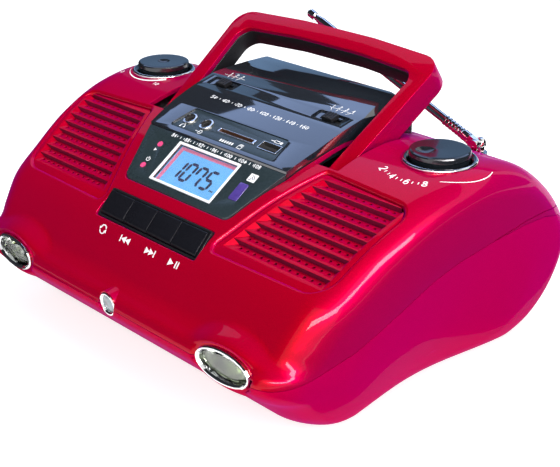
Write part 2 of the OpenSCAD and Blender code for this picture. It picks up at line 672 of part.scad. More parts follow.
module lamp_bezel(side) {
    color("gainsboro") at_lamp(side) oval_ring([
        [lamp_rx - lamp_step, lamp_rz - lamp_step, -7],
        [lamp_rx - lamp_step, lamp_rz - lamp_step, -0.75], [lamp_rx, lamp_rz, -0.75],
        [lamp_rx, lamp_rz, 0.8], [lamp_rx - 0.5, lamp_rz - 0.5, 1.5],
        [lamp_rx - lamp_step, lamp_rz - lamp_step, 1.6],
        [lamp_rx - lip, lamp_rz - lip, 0.6], [lamp_rx - lip, lamp_rz - lip, -7]]);
}
module left_lamp_bezel() { lamp_bezel(-1); }
module right_lamp_bezel() { lamp_bezel(1); }
led_bulb_r = 2.5;
bowl_low = led_bulb_r + 1.3;
bowl_rx = lamp_rx - lip - 0.2;
bowl_rz = lamp_rz - lip - 0.2;
module lamp_reflector(side) {
    function bowl(t) = [bowl_low + (bowl_rx - bowl_low) * sqrt(t),
        bowl_low + (bowl_rz - bowl_low) * sqrt(t), -lamp_depth + (lamp_depth - 3) * t];
    inside = [for (k = [0:5]) bowl(k * k / 25)];
    color("white") at_lamp(side) oval_ring(concat(
        [for (r = inside) [r[0] - 0.9, r[1] - 0.9, r[2]]],
        [for (k = [5:-1:0]) [inside[k][0], inside[k][1], inside[k][2] - (k == 5 ? 0 : 0.9)]]));
}
module left_lamp_reflector() { lamp_reflector(-1); }
module right_lamp_reflector() { lamp_reflector(1); }
module lamp_lens(side) {
    color("lightcyan", 0.3) at_lamp(side) oval_plug([[bowl_rx, bowl_rz, -2.8], [bowl_rx, bowl_rz, -1.6],
        [bowl_rx * 0.75, bowl_rz * 0.75, -0.7], [bowl_rx * 0.35, bowl_rz * 0.35, -0.3]]);
}
module left_lamp_lens() { lamp_lens(-1); }
module right_lamp_lens() { lamp_lens(1); }
mid_tilt = 4.5;
mid_step = 0.7;
mid_lamp_y = 1.8 - half_d;
module at_mid_lamp() { translate([0, mid_lamp_y, lamp_z]) rotate([90 + mid_tilt, 0, 0]) children(); }
module middle_lamp_bezel() {
    color("silver") at_mid_lamp() rotate_extrude($fn = 48)
        polygon([[mid_lamp_r - 1.6, -6], [mid_lamp_r - mid_step, -6],
            [mid_lamp_r - mid_step, -0.2], [mid_lamp_r, -0.2], [mid_lamp_r, 0.6],
            [mid_lamp_r - 0.4, 1], [mid_lamp_r - 0.9, 1], [mid_lamp_r - 1.6, 0.2]]);
}
module middle_lamp_lens() {
    color("lightslategray") at_mid_lamp() rotate_extrude($fn = 48)
        polygon([[0, -4.5], [mid_lamp_r - 1.65, -4.5], [mid_lamp_r - 1.65, -0.4], [mid_lamp_r - 3.2, 0.1],
            [0, 0.4]]);
}
module bulb(y) {
    rotate_extrude($fn = 32) polygon([[0, y - 4], [led_bulb_r + 0.4, y - 4], [led_bulb_r + 0.4, y - 3.2],
        [led_bulb_r, y - 3.2], [led_bulb_r, y + 2], [led_bulb_r * 0.7, y + 3.8], [0, y + 4.5]]);
}
module lamp_leds() {
    color("lightyellow") {
        for (side = [-1, 1]) at_lamp(side) bulb(-lamp_depth + 2);
        at_mid_lamp() bulb(-9.5);
    }
}

// ---------- Handle ----------
pivot_y = -17;
pivot_depth = 14.65;
pivot_z = crown_z(pivot_y) - pivot_depth;
arm_x = 62;
arm_w = handle_face;
module on_handle() { translate([0, pivot_y, pivot_z]) rotate([handle_slope, 0, 0]) children(); }
eye_r = handle_t / 2;
arm_foot = arm_x + arm_w / 2;
bar_arch = 3;
bar_w = 11;
arm_flare = 6;
// Outline of the U in the handle's plane, from one foot round to the other
function u_outline(top_x, foot_x, v, arch, r) = rounded(mirrored(
    [[foot_x, 0, 0], [top_x, v, r], [top_x * 0.35, v + arch, 90]]), 6);
module handle_solid(t0, t1, out, top_v, arch, r) {
    translate([0, 0, t0]) linear_extrude(height = t1 - t0)
        polygon(u_outline(out + arm_flare, out, top_v, arch, r));
}
inner_foot = arm_foot - arm_w;
lining = 2.2;
// Open middle of the U
module handle_inside() {
    translate([0, -1, -handle_t])
        handle_solid(0, 2 * handle_t, inner_foot, handle_len - bar_w + 1, bar_arch, 8);
}
module handle_frame() {
    color("crimson") on_handle() difference() {
        union() {
            handle_solid(-handle_t / 2, handle_t / 2, arm_foot, handle_len, bar_arch, 11);
            for (s = [-1, 1]) translate([s * arm_x, 0, 0]) rotate([0, 90, 0])
                cylinder(r = eye_r, h = arm_w, center = true, $fn = 48);
        }
        handle_inside();
        translate([-inner_foot + 0.01, -20, -handle_t]) cube([2 * inner_foot - 0.02, 21, 2 * handle_t]);
        translate([0, 0, -handle_t]) intersection() {
            handle_solid(0, 1.5 * handle_t - 3, inner_foot + lining,
                handle_len - bar_w + lining, bar_arch, 9);
            translate([-100, 8, 0]) cube([200, 200, 60]);
        }
        rotate([0, 90, 0]) cylinder(r = pin_r + run_gap, h = 3 * arm_x, center = true, $fn = 48);
    }
}
module handle_lining() {
    color("#0b0b0c") on_handle() difference() {
        intersection() {
            handle_solid(-handle_t / 2, handle_t / 2 - 3.05, inner_foot + lining - 0.05,
                handle_len - bar_w + lining - 0.05, bar_arch, 9);
            translate([-100, 8.05, -50]) cube([200, 200, 100]);
        }
        handle_inside();
    }
}
cheek_t = 2;
cheek_l = 14;
cheek_up = 5;
well_gap = 1.8;
rib_t = 3.6;
well_out = arm_foot + arm_flare * 0.6;
well_front = pivot_y - eye_r + 0.8;
well_back = pivot_y + eye_r / sin(handle_slope) + (body_h - pivot_z) / tan(handle_slope);
module handle_brackets() {
    color("silver") for (s = [-1, 1]) translate([s * arm_x, pivot_y, pivot_z]) {
        for (e = [-1, 1])
            translate([e * (arm_w / 2 + well_gap + cheek_t / 2) - cheek_t / 2, -cheek_l / 2, -9])
                cube([cheek_t, cheek_l, 9 + cheek_up]);
        translate([0, 0, -10.5])
            cube([arm_w + 2 * (well_gap + cheek_t), cheek_l, 3], center = true);
        rotate([0, 90, 0])
            cylinder(r = pin_r, h = arm_w + 2 * well_gap + cheek_t, center = true, $fn = 48);
    }
}

// ---------- Aerial ----------
aerial_x = body_w / 2 - 45.5;
aerial_gap = 1.6;
aerial_y = pivot_y + (handle_len + bar_arch) * cos(handle_slope) + eye_r * sin(handle_slope)
    + aerial_r + aerial_gap;
aerial_seat = crown_z(aerial_y);
elbow_up = 4.6;
stud_r = 3.5;
socket_r = stud_r + 2.2;
socket_l = 10.2;
tube_wall = 0.3;
tube_step = tube_wall + run_gap;
aerial_pin_r = 1;
module at_aerial() { translate([aerial_x, aerial_y, aerial_seat]) children(); }
module on_rod() { at_aerial() translate([0, 0, elbow_up]) rotate([0, aerial_slope - 90, 0]) children(); }
module aerial_socket() {
    color("gainsboro") at_aerial() difference() {
        union() {
            translate([0, 0, -socket_l]) cylinder(r = socket_r, h = socket_l + 1, $fn = 48);
            translate([0, 0, -socket_l]) cylinder(r = socket_r + 1.2, h = 1.4, $fn = 48);
        }
        translate([0, 0, -socket_l - 1]) cylinder(r = stud_r + run_gap, h = 2 * socket_l, $fn = 48);
    }
}
module aerial_base() {
    color("silver") at_aerial() {
        translate([0, 0, -socket_l - 2]) cylinder(r = stud_r, h = socket_l + 3.4, $fn = 48);
        translate([0, 0, -socket_l - 2]) cylinder(r = stud_r + 1.2, h = 1.7, $fn = 48);
        difference() {
            union() {
                translate([0, 0, 1.3]) cylinder(r = stud_r + 0.6, h = elbow_up - 1.3, $fn = 48);
                translate([0, 0, elbow_up]) rotate([90, 0, 0])
                    cylinder(r = 3.2, h = 7.4, center = true, $fn = 48);
            }
            translate([-10, -1.6, 1.9]) cube([20, 3.2, 20]);
        }
        translate([0, 0, elbow_up]) rotate([90, 0, 0])
            cylinder(r = aerial_pin_r, h = 7, center = true, $fn = 48);
    }
}
collar_at = 9;
module aerial_tube_1() {
    color("gainsboro") on_rod() difference() {
        union() {
            rotate([90, 0, 0]) cylinder(r = 2.5, h = 2.8, center = true, $fn = 48);
            translate([-2.5, -1.4, 0]) cube([5, 2.8, 6]);
            translate([0, 0, 5]) cylinder(r = aerial_r + 0.5, h = collar_at - 5, $fn = 48);
            translate([0, 0, 5]) cylinder(r = aerial_r, h = aerial_len - 5, $fn = 48);
        }
        rotate([90, 0, 0]) cylinder(r = aerial_pin_r + run_gap, h = 10, center = true, $fn = 48);
        translate([0, 0, collar_at + 1]) cylinder(r = aerial_r - tube_wall, h = aerial_len, $fn = 48);
    }
}
module inner_tube(k) {
    r = aerial_r - k * tube_step;
    color("gainsboro") on_rod() difference() {
        translate([0, 0, collar_at + 2 + k])
            cylinder(r = r, h = aerial_len - collar_at - 2 + k, $fn = 48);
        translate([0, 0, collar_at + 3 + k]) cylinder(r = r - tube_wall, h = 2 * aerial_len, $fn = 48);
    }
}
module aerial_tube_2() { inner_tube(1); }
module aerial_tube_3() { inner_tube(2); }
module aerial_rod() {
    color("gainsboro") on_rod() {
        translate([0, 0, collar_at + 5])
            cylinder(r = aerial_r - 3 * tube_step, h = aerial_len - collar_at, $fn = 48);
        translate([0, 0, aerial_len + 4.3]) rotate_extrude($fn = 48)
            polygon([[0, 0], [aerial_r - 0.3, 0], [aerial_r, 0.4], [aerial_r, 4.4],
                [aerial_r - 1, 5.6], [0, 5.9]]);
    }
}

// ---------- Battery bay and door ----------
bay_w = 132;
bay_front = -14 * fy;
bay_back = 58 * fy;
bay_roof = 39;
door_w = 136;
door_front = bay_front - 3;
door_back = 81 * fy;
door_t = 2;
door_low = floor_z + 0.25;
rail_h = 6;
tongue = 1.4;
module battery_door() {
    color("#1a1a1c") difference() {
        union() {
            translate([-door_w / 2, door_front, door_low])
                cube([door_w, door_back - door_front, door_t]);
            translate([-door_w / 2 - tongue, door_front, door_low + 1])
                cube([door_w + 2 * tongue, door_back - door_front, door_t - 1]);
        }
        for (k = [0:4]) translate([-18, door_back - 8 - 4 * k, door_low - 1]) cube([36, 1.6, 1.7]);
    }
}
contact_x = bay_w / 2 - 1;
module battery_contacts() {
    color("silver") for (s = [-1, 1], y = [4, 40]) translate([s * contact_x, y, 21]) {
        cube([1, 22, 26], center = true);
        translate([-s * 0.5, 0, 0]) rotate([0, -s * 90, 0]) cylinder(r1 = 7, r2 = 4, h = 2.4, $fn = 32);
    }
}

// ---------- Inside the housing ----------
board_z = 47;
board_w = 120;
board_d = 62;
board_y = 20;
clip_top = 5.6;
module main_board() {
    color("seagreen") {
        translate([-board_w / 2, board_y - board_d / 2, board_z]) cube([board_w, board_d, 1.6]);
        translate([-40, 0, board_z + 1.6]) cube([22, 14, 2.4]);
        translate([-6, 8, board_z + 1.6]) cube([12, 12, 1.8]);
        translate([20, -4, board_z + 1.6]) cube([26, 16, 9]);
        for (x = [-50:12:46]) translate([x, 32, board_z + 1.6]) cylinder(r = 3, h = 8, $fn = 24);
        for (x = [-41, 41]) translate([x - 2, board_y + board_d / 2 - 10, board_z])
            cube([4, 9, clip_top]);
    }
}
ferrite_r = 4.5;
ferrite_l = 90;
coil_l = 14;
module ferrite_rod() {
    color("#3a3a3c") translate([0, board_y + board_d / 2 - 5.5, board_z + clip_top + 0.1 + ferrite_r])
        rotate([0, 90, 0]) {
            cylinder(r = ferrite_r, h = ferrite_l, center = true, $fn = 32);
            for (z = [-30, 24]) translate([0, 0, z])
                cylinder(r = ferrite_r + 1.1, h = coil_l, center = true, $fn = 32);
        }
}
web_top = floor_z + wall + 2.2;
core_w = 40;
core_d = 18;
core_h = 30;
module transformer() {
    color("peru") translate([12, bay_back + 5, web_top]) {
        cube([core_w, core_d, core_h]);
        translate([core_w / 2 - 12, -2.5, 5]) cube([24, core_d + 5, core_h - 10]);
    }
}
inlet_x = -40;
inlet_z = floor_z + 30;
inlet_y = half_d - 1;
inlet_w = 21;
inlet_h = 12;
plug_w = 16.6;
plug_h = 9;
inlet_pin_x = 4.3;
inlet_pin_r = 1.2;
module at_inlet() { translate([inlet_x, inlet_y, inlet_z]) rotate([-90, 0, 0]) children(); }
module stadium(w, h, t) { linear_extrude(height = t) polygon(rounded_box(w, h, h / 2 - 0.05)); }
module ac_inlet() {
    color("#101012") at_inlet() difference() {
        union() {
            translate([-inlet_w / 2 - 2.5, -inlet_h / 2 - 1.5, -18])
                cube([inlet_w + 5, inlet_h + 3, 12.7]);
            translate([-inlet_w / 2, -inlet_h / 2, -5.4]) cube([inlet_w, inlet_h, 4.8]);
        }
        translate([0, 0, -13]) stadium(plug_w, plug_h, 20);
    }
    color("silver") at_inlet() for (s = [-1, 1])
        translate([s * inlet_pin_x, 0, -14]) cylinder(r = inlet_pin_r, h = 10, $fn = 24);
}
foot_x = body_w / 2 - 51.5;
foot_y = 44;
vent_pitch = 5;
module feet() {
    color("#151515") for (x = [-foot_x, foot_x], y = [-foot_y, foot_y]) translate([x, y, 0])
        rotate_extrude($fn = 48) polygon([[0, 0], [foot_r - 0.8, 0], [foot_r, 0.8],
            [foot_r, foot_h - 0.02], [0, foot_h - 0.02]]);
}
front_screw = [42.6, -67 * fy];
rear_screw = [body_w / 2 - 38.5, 44 * fy];
screw_places = [for (p = [front_screw, rear_screw], s = [-1, 1]) [s * p[0], p[1]]];
post_split = 46;
screw_seat = floor_z + 8;
module screws() {
    color("silver") for (p = screw_places) translate([p[0], p[1], screw_seat]) difference() {
        union() {
            translate([0, 0, -2]) cylinder(r = 2.9, h = 2, $fn = 32);
            translate([0, 0, -1]) cylinder(r = 1.45, h = post_split - screw_seat + 9, $fn = 32);
        }
        for (a = [0, 90]) rotate([0, 0, a]) translate([-2, -0.4, -3]) cube([4, 0.8, 2]);
    }
}

// ---------- Housing shells ----------
module slot(a, b, r, h) { hull() for (q = [a, b]) translate(q) cylinder(r = r, h = h, $fn = 12); }
module pod(d, z0, z1) {
    both_sides() at_lamp(1) hull() {
        translate([0, 0, z0 - 0.1]) linear_extrude(height = 0.1)
            polygon(oval(lamp_rx + 1.6 - d, lamp_rz + 1.6 - d));
        translate([0, 2, z1]) linear_extrude(height = 0.1)
            polygon(oval(lamp_rx + 3 - d, lamp_rz + 7 - d));
    }
}
module lamp_holes() {
    both_sides() at_lamp(1) translate([0, 0, -12]) linear_extrude(height = 30)
        polygon(oval(lamp_rx - lamp_step + lamp_fit, lamp_rz - lamp_step + lamp_fit));
    both_sides() at_lamp(1) translate([0, 0, -0.8]) linear_extrude(height = 20)
        polygon(oval(lamp_rx + lamp_fit, lamp_rz + lamp_fit));
    at_mid_lamp() translate([0, 0, -0.25]) cylinder(r = mid_lamp_r + lamp_fit, h = 20, $fn = 32);
    at_mid_lamp() translate([0, 0, -14])
        cylinder(r = mid_lamp_r - mid_step + lamp_fit, h = 20, $fn = 32);
}
module housing() {
    difference() {
        union() { housing_outside(); pod(0, -0.85, -24); }
        difference() {
            union() { housing_inside(); pod(wall, -4, -26); }
            // Local boss that carries the middle lamp
            at_mid_lamp() translate([0, 0, -7]) cylinder(r = mid_lamp_r + 1.6, h = 8, $fn = 32);
        }
        lamp_holes();
    }
}
module top_openings() {
    linear_extrude(height = 2 * body_h) polygon(rounded([
        [-bridge_front - part_gap, display_front - part_gap, 5],
        [bridge_front + part_gap, display_front - part_gap, 5],
        [bridge_split + part_gap, display_back, 0], [-bridge_split - part_gap, display_back, 0]]));
    bridge_plan(-part_gap);
    both_sides() grille_outline(0);
    on_keys() translate([0, 0, -12]) linear_extrude(height = 40)
        polygon(rounded_box(frame_w + 2 * part_gap, frame_l + 2 * part_gap, 1.4));
    both_sides() translate([inner_foot - well_gap, well_front, crown_z(0) - 25])
        cube([well_out - inner_foot + well_gap, well_back - well_front, 60]);
    for (s = [-1, 1]) at_knob(s) {
        translate([0, 0, trim_seat]) cylinder(r = trim_r + part_gap, h = 20, $fn = 36);
        translate([0, 0, cup_floor]) cylinder(r = cup_r, h = 20, $fn = 36);
    }
    at_aerial() translate([0, 0, -20]) cylinder(r = socket_r + part_gap, h = 40, $fn = 32);
}
module knob_cup(s) {
    at_knob(s) difference() {
        translate([0, 0, cup_floor - 2])
            cylinder(r = cup_r + 1.8, h = trim_seat - cup_floor + 2, $fn = 36);
        translate([0, 0, cup_floor]) cylinder(r = cup_r, h = 20, $fn = 36);
        translate([0, 0, cup_floor - 5]) cylinder(r = shaft_r + 1.6, h = 10, $fn = 24);
    }
}
module bracket_ribs() {
    both_sides() translate([arm_foot + well_gap, pivot_y - cheek_l / 2, pivot_z + cheek_up])
        cube([rib_t, cheek_l, 16]);
}
module top_posts() {
    for (p = screw_places) translate([p[0], p[1], post_split + 0.2]) difference() {
        cylinder(r = 3.6, h = 60, $fn = 16);
        translate([0, 0, -1]) cylinder(r = 1.55, h = 14, $fn = 16);
    }
}
module aerial_boss() {
    at_aerial() translate([0, 0, 1.5 - socket_l])
        cylinder(r = socket_r + 2.8, h = socket_l, $fn = 32);
}
module top_shell() {
    color("crimson") {
        difference() {
            intersection() { housing(); above_seam(part_gap / 2); }
            top_openings();
        }
        intersection() {
            housing_outside();
            difference() {
                union() {
                    for (s = [-1, 1]) knob_cup(s);
                    bracket_ribs();
                    top_posts();
                    aerial_boss();
                }
                both_sides() grille_outline(0);
                at_aerial() translate([0, 0, -20]) cylinder(r = socket_r + part_gap, h = 40, $fn = 32);
                for (s = [-1, 1]) at_knob(s) translate([0, 0, cup_floor])
                    cylinder(r = cup_r, h = 20, $fn = 36);
            }
        }
    }
}
module bay_walls() {
    difference() {
        translate([-bay_w / 2 - 2, bay_front - 2, floor_z + 1])
            cube([bay_w + 4, bay_back - bay_front + 4, bay_roof - floor_z + 1]);
        translate([-bay_w / 2, bay_front, 0]) cube([bay_w, bay_back - bay_front, bay_roof]);
    }
    for (x = [-1, 1], y = [-1, 1])
        translate([x * (board_w / 2 - 5), board_y + y * (board_d / 2 - 5), bay_roof + 1])
            cylinder(r = 3, h = board_z - bay_roof - 1, $fn = 16);
    for (s = [-1, 1]) translate([s * (door_w / 2 + 2.5) - 3.5, door_front - 2, floor_z + 1])
        cube([7, door_back - door_front + 2, rail_h]);
    translate([-door_w / 2 - 4, bay_back, floor_z + wall]) cube([door_w + 8, door_back - bay_back, 2.2]);
}
module bottom_posts() {
    for (p = screw_places) translate([p[0], p[1], floor_z + 1])
        cylinder(r = 4.4, h = post_split - floor_z - 1, $fn = 16);
}
module bottom_openings() {
    translate([-door_w / 2 - part_gap, door_front - part_gap, -1])
        cube([door_w + 2 * part_gap, 2 * half_d, floor_z + wall + 1]);
    translate([-door_w / 2 - tongue - part_gap, door_front - part_gap, door_low + 1 - part_gap])
        cube([door_w + 2 * (tongue + part_gap), 2 * half_d, door_t - 1 + 2 * part_gap]);
    translate([-bay_w / 2, bay_front, -1]) cube([bay_w, bay_back - bay_front, bay_roof + 1]);
    for (p = screw_places) translate([p[0], p[1], -1]) {
        cylinder(r = 3.2, h = screw_seat + 1, $fn = 20);
        cylinder(r = 1.7, h = body_h, $fn = 16);
    }
    at_inlet() translate([-inlet_w / 2 - part_gap, -inlet_h / 2 - part_gap, -30])
        cube([inlet_w + 2 * part_gap, inlet_h + 2 * part_gap, 40]);
    for (k = [-5:5]) both_sides() if (k % 2 == 0)
        slot([foot_x - 2, k * vent_pitch, -1], [foot_x + 10, k * vent_pitch, -1],
            1.2, floor_z + wall + 4);
}
module bottom_shell() {
    color("#b01030") difference() {
        union() {
            difference() { housing(); above_seam(-part_gap / 2); }
            intersection() {
                housing_outside();
                union() { bay_walls(); bottom_posts(); }
            }
        }
        bottom_openings();
    }
}

top_shell();
bottom_shell();
left_grille();
right_grille();
bridge_cover();
display_panel();
lcd_bezel();
lcd_window();
lcd_module();
jack_strip();
phones_jack();
aux_jack();
card_socket();
usb_socket();
indicator_leds();
ir_window();
function_switch();
band_switch();
switch_bodies();
key_frame();
key_1();
key_2();
key_3();
key_4();
key_board();
volume_knob();
tuning_knob();
volume_trim();
tuning_trim();
volume_pot();
tuning_capacitor();
left_speaker();
right_speaker();
speaker_cones();
left_lamp_bezel();
right_lamp_bezel();
left_lamp_reflector();
right_lamp_reflector();
left_lamp_lens();
right_lamp_lens();
lamp_leds();
middle_lamp_bezel();
middle_lamp_lens();
handle_frame();
handle_lining();
handle_brackets();
aerial_socket();
aerial_base();
aerial_tube_1();
aerial_tube_2();
aerial_tube_3();
aerial_rod();
ferrite_rod();
main_board();
transformer();
battery_contacts();
battery_door();
feet();
screws();
ac_inlet();
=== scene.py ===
"""Portable emergency radio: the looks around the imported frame.

Lengths are in millimetres until a mesh is made.
"""
import json
import math

import bmesh
import bpy
import numpy as np
from mathutils import Matrix, Vector
from mathutils.bvhtree import BVHTree
from mathutils.geometry import barycentric_transform


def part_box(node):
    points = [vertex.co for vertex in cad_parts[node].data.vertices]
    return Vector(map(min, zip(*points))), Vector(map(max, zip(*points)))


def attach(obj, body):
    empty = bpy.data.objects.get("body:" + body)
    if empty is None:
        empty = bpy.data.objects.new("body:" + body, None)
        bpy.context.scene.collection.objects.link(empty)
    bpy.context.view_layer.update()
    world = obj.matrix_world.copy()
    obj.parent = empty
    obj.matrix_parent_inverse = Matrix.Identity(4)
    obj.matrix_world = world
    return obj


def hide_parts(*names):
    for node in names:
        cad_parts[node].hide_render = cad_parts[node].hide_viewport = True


MM = 0.001
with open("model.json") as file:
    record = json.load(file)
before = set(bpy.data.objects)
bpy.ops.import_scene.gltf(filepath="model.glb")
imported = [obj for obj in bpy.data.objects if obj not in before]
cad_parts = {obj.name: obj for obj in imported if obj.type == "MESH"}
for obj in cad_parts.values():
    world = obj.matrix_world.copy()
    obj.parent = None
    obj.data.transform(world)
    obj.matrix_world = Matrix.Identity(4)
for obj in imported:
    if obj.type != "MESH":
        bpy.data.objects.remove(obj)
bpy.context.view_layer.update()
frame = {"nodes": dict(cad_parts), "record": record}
NODES = frame["nodes"]
BODY_OF = {n: b for b, ns in frame["record"]["behaviour"]["bodies"].items() for n in ns}


def node_box(node):
    """Lowest and highest corner of a CAD node in millimetres."""
    low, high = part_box(node)
    return Vector(low) / MM, Vector(high) / MM


def middle(node):
    """Middle of a CAD node's box in millimetres."""
    return [(a + b) / 2 for a, b in zip(*node_box(node))]


def round_place(node):
    """Middle and radius in plan of a round CAD node."""
    low, high = node_box(node)
    x, y, _ = middle(node)
    return x, y, (high.x - low.x) / 2


def link(obj):
    bpy.context.scene.collection.objects.link(obj)


# ---------- Camera and stage ----------
def make_camera():
    data = bpy.data.cameras.new("camera")
    data.lens = 77.14
    data.sensor_width = 36
    camera = bpy.data.objects.new("camera", data)
    camera.location = (0.4279, -0.4005, 0.3068)
    camera.rotation_euler = (math.radians(66), 0, math.radians(46.36))
    link(camera)
    bpy.context.scene.camera = camera


def softbox(name, place, aim, size, power, colour=(1, 1, 1), mirrored=True):
    data = bpy.data.lights.new(name, "AREA")
    data.shape = "RECTANGLE"
    data.size, data.size_y = size
    data.energy = power
    data.color = colour
    light = bpy.data.objects.new(name, data)
    light.location = place
    light.rotation_euler = (Vector(aim) - Vector(place)).to_track_quat("-Z", "Y").to_euler()
    light.visible_glossy = mirrored
    link(light)


def background_rays(tree):
    """1 for the rays that show the background: straight, mirrored or through glass."""
    rays = add(tree, "LightPath")
    seen = rays.outputs["Is Camera Ray"]
    for ray in ("Is Glossy Ray", "Is Transmission Ray"):
        either = add(tree, "Math")
        either.operation = "MAXIMUM"
        tree.links.new(seen, either.inputs[0])
        tree.links.new(rays.outputs[ray], either.inputs[1])
        seen = either.outputs[0]
    return seen


def make_world():
    """Pale surround: white to the camera, softer as a light. The cards hide it from most reflections."""
    world = bpy.data.worlds.new("studio")
    bpy.context.scene.world = world
    world.use_nodes = True
    tree = world.node_tree
    tree.nodes.clear()
    out = add(tree, "OutputWorld")
    seen = background_rays(tree)
    white = add(tree, "Background", Color=(1, 1, 1, 1))
    room = add(tree, "Background", Color=(0.80, 0.86, 1.0, 1), Strength=0.45)
    mix = add(tree, "MixShader")
    tree.links.new(seen, mix.inputs[0])
    tree.links.new(room.outputs[0], mix.inputs[1])
    tree.links.new(white.outputs[0], mix.inputs[2])
    tree.links.new(mix.outputs[0], out.inputs[0])


def card(name, corners, colour, strength=0.0):
    """Flat studio card that only reflections see: dark, or lit by itself."""
    obj = mesh_object(name, [Vector(c) / MM for c in corners], [(0, 1, 2, 3)])
    material = plain(name, (0.01, 0.01, 0.012) if strength else colour, 0.9)
    if strength:
        bsdf = material.node_tree.nodes["Principled BSDF"]
        put(bsdf, Emission_Color=(*colour, 1), Emission_Strength=strength)
    obj.data.materials.append(material)
    obj.visible_camera = False
    obj.visible_shadow = False
    obj.visible_diffuse = False
    obj.visible_transmission = False


def wall(name, start, end, low, high, colour, strength=0.0):
    """Upright card between two places on the floor."""
    corners = [(*start, low), (*end, low), (*end, high), (*start, high)]
    card(name, corners, colour, strength)


DARK = (0.02, 0.02, 0.025)
SKY = (0.36, 0.50, 0.86)
LOW_SKY = (0.20, 0.36, 0.62)
STREAK = (1.0, 0.95, 0.98)
BAR_LOW, BAR_HIGH, WALL_TOP = 0.92, 1.19, 3.2
WALLS = (
    ("front_flag", (-1.7, -0.55), (-0.2, -2.2), 0.0, WALL_TOP, DARK),
    ("left_flag", (-1.7, 0.1), (-1.7, -0.55), 0.0, WALL_TOP, DARK),
    ("corner_flag", (-1.7, 0.1), (-1.31, 0.64), 0.0, BAR_LOW, DARK),
    ("low_sky", (-1.31, 0.64), (-0.2, 2.2), 0.0, BAR_LOW, LOW_SKY, 0.8),
    ("bar_flag", (-1.7, 0.1), (-0.2, 2.2), BAR_LOW, BAR_HIGH, DARK),
    ("high_sky", (-1.7, 0.1), (-0.2, 2.2), BAR_HIGH, WALL_TOP, SKY, 2.0),
    ("rear_flag", (0.1, 2.2), (1.9, 1.5), 0.08, 1.3, DARK),
    ("right_flag", (1.9, 1.5), (2.3, -0.6), 0.08, 1.3, DARK),
    ("streak_front", (0.45, -1.15), (1.0, -0.4), 0.55, 0.82, STREAK, 26),
    ("streak_side", (1.0, -0.4), (1.2, 0.1), 0.68, 1.0, STREAK, 26),
)
LEVEL_CARDS = (
    ("ceiling", -1.7, 2.3, -2.2, 2.2, 3.25),
    ("floor_flag", 0.12, 1.3, -0.3, 1.2, 0.002),
    ("left_floor_flag", -1.6, -0.12, -0.3, 0.6, 0.002),
)


def make_cards():
    """Cards that hide the pale background and floor from reflections."""
    for row in WALLS:
        wall(*row)
    for name, x0, x1, y0, y1, z in LEVEL_CARDS:
        card(name, [(x0, y0, z), (x1, y0, z), (x1, y1, z), (x0, y1, z)], DARK)


def paper(name, colour, lift):
    """Matt pale paper that looks white to the camera and keeps its shadows."""
    material = plain(name, colour, 0.9)
    tree = material.node_tree
    lifted = add(tree, "Math")
    lifted.operation = "MULTIPLY"
    lifted.inputs[1].default_value = lift
    tree.links.new(background_rays(tree), lifted.inputs[0])
    bsdf = tree.nodes["Principled BSDF"]
    put(bsdf, Emission_Color=(1, 1, 1, 1))
    join(tree, bsdf, Emission_Strength=lifted.outputs[0])
    return material


def make_stage():
    """Floor, surround, reflection cards and four lamps that reflections don't see."""
    reach = 4000
    corners = [(-reach, -reach, 0), (reach, -reach, 0), (reach, reach, 0), (-reach, reach, 0)]
    floor = mesh_object("floor", corners, [(0, 1, 2, 3)])
    floor.data.materials.append(paper("floor_paper", (0.62, 0.62, 0.625), 0.72))
    make_world()
    make_cards()
    softbox("key", (0.3, 0.1, 1.3), (0, 0, 0.05), (0.9, 0.8), 11, (0.97, 0.96, 1.0), False)
    softbox("strip", (0.32, 0.0, 1.2), (0.1, -0.05, 0.08), (0.16, 0.9), 5, (1, 1, 1), False)
    softbox("front", (0.55, -1.0, 0.75), (0, 0, 0.06), (0.5, 0.4), 6, (1, 1, 1), False)
    softbox("side", (1.15, -0.1, 0.45), (0.05, 0, 0.05), (0.4, 0.6), 9, (1.0, 0.97, 1.0), False)


# ---------- Mesh helpers ----------
def mesh_object(name, points, faces, smooth=False):
    """Mesh object from points in millimetres."""
    mesh = bpy.data.meshes.new(name)
    mesh.from_pydata([tuple(Vector(p) * MM) for p in points], [], [list(f) for f in faces])
    mesh.validate()
    if smooth:
        mesh.shade_smooth()
    obj = bpy.data.objects.new(name, mesh)
    link(obj)
    return obj


def evaluate(obj):
    """Apply the modifiers of an object."""
    graph = bpy.context.evaluated_depsgraph_get()
    graph.update()
    mesh = bpy.data.meshes.new_from_object(obj.evaluated_get(graph))
    old = obj.data
    obj.modifiers.clear()
    obj.data = mesh
    bpy.data.meshes.remove(old)
    return obj


def remove(obj):
    mesh = obj.data
    bpy.data.objects.remove(obj)
    bpy.data.meshes.remove(mesh)


def combine(obj, tools, operation="DIFFERENCE"):
    """Boolean of an object with several tools, which are used up."""
    for tool in tools:
        step = obj.modifiers.new("cut", "BOOLEAN")
        step.operation = operation
        step.solver = "MANIFOLD"
        step.object = tool
    evaluate(obj)
    for tool in tools:
        remove(tool)
    return obj


def soften(obj, angle=35):
    obj.data.shade_smooth()
    obj.data.set_sharp_from_angle(angle=math.radians(angle))
    return obj


def prism(name, outline, low, high):
    """Upright prism over an outline in the XY plane."""
    n = len(outline)
    points = [(p[0], p[1], low) for p in outline] + [(p[0], p[1], high) for p in outline]
    faces = [range(n - 1, -1, -1), range(n, 2 * n)]
    faces += [(i, (i + 1) % n, n + (i + 1) % n, n + i) for i in range(n)]
    return mesh_object(name, points, faces)


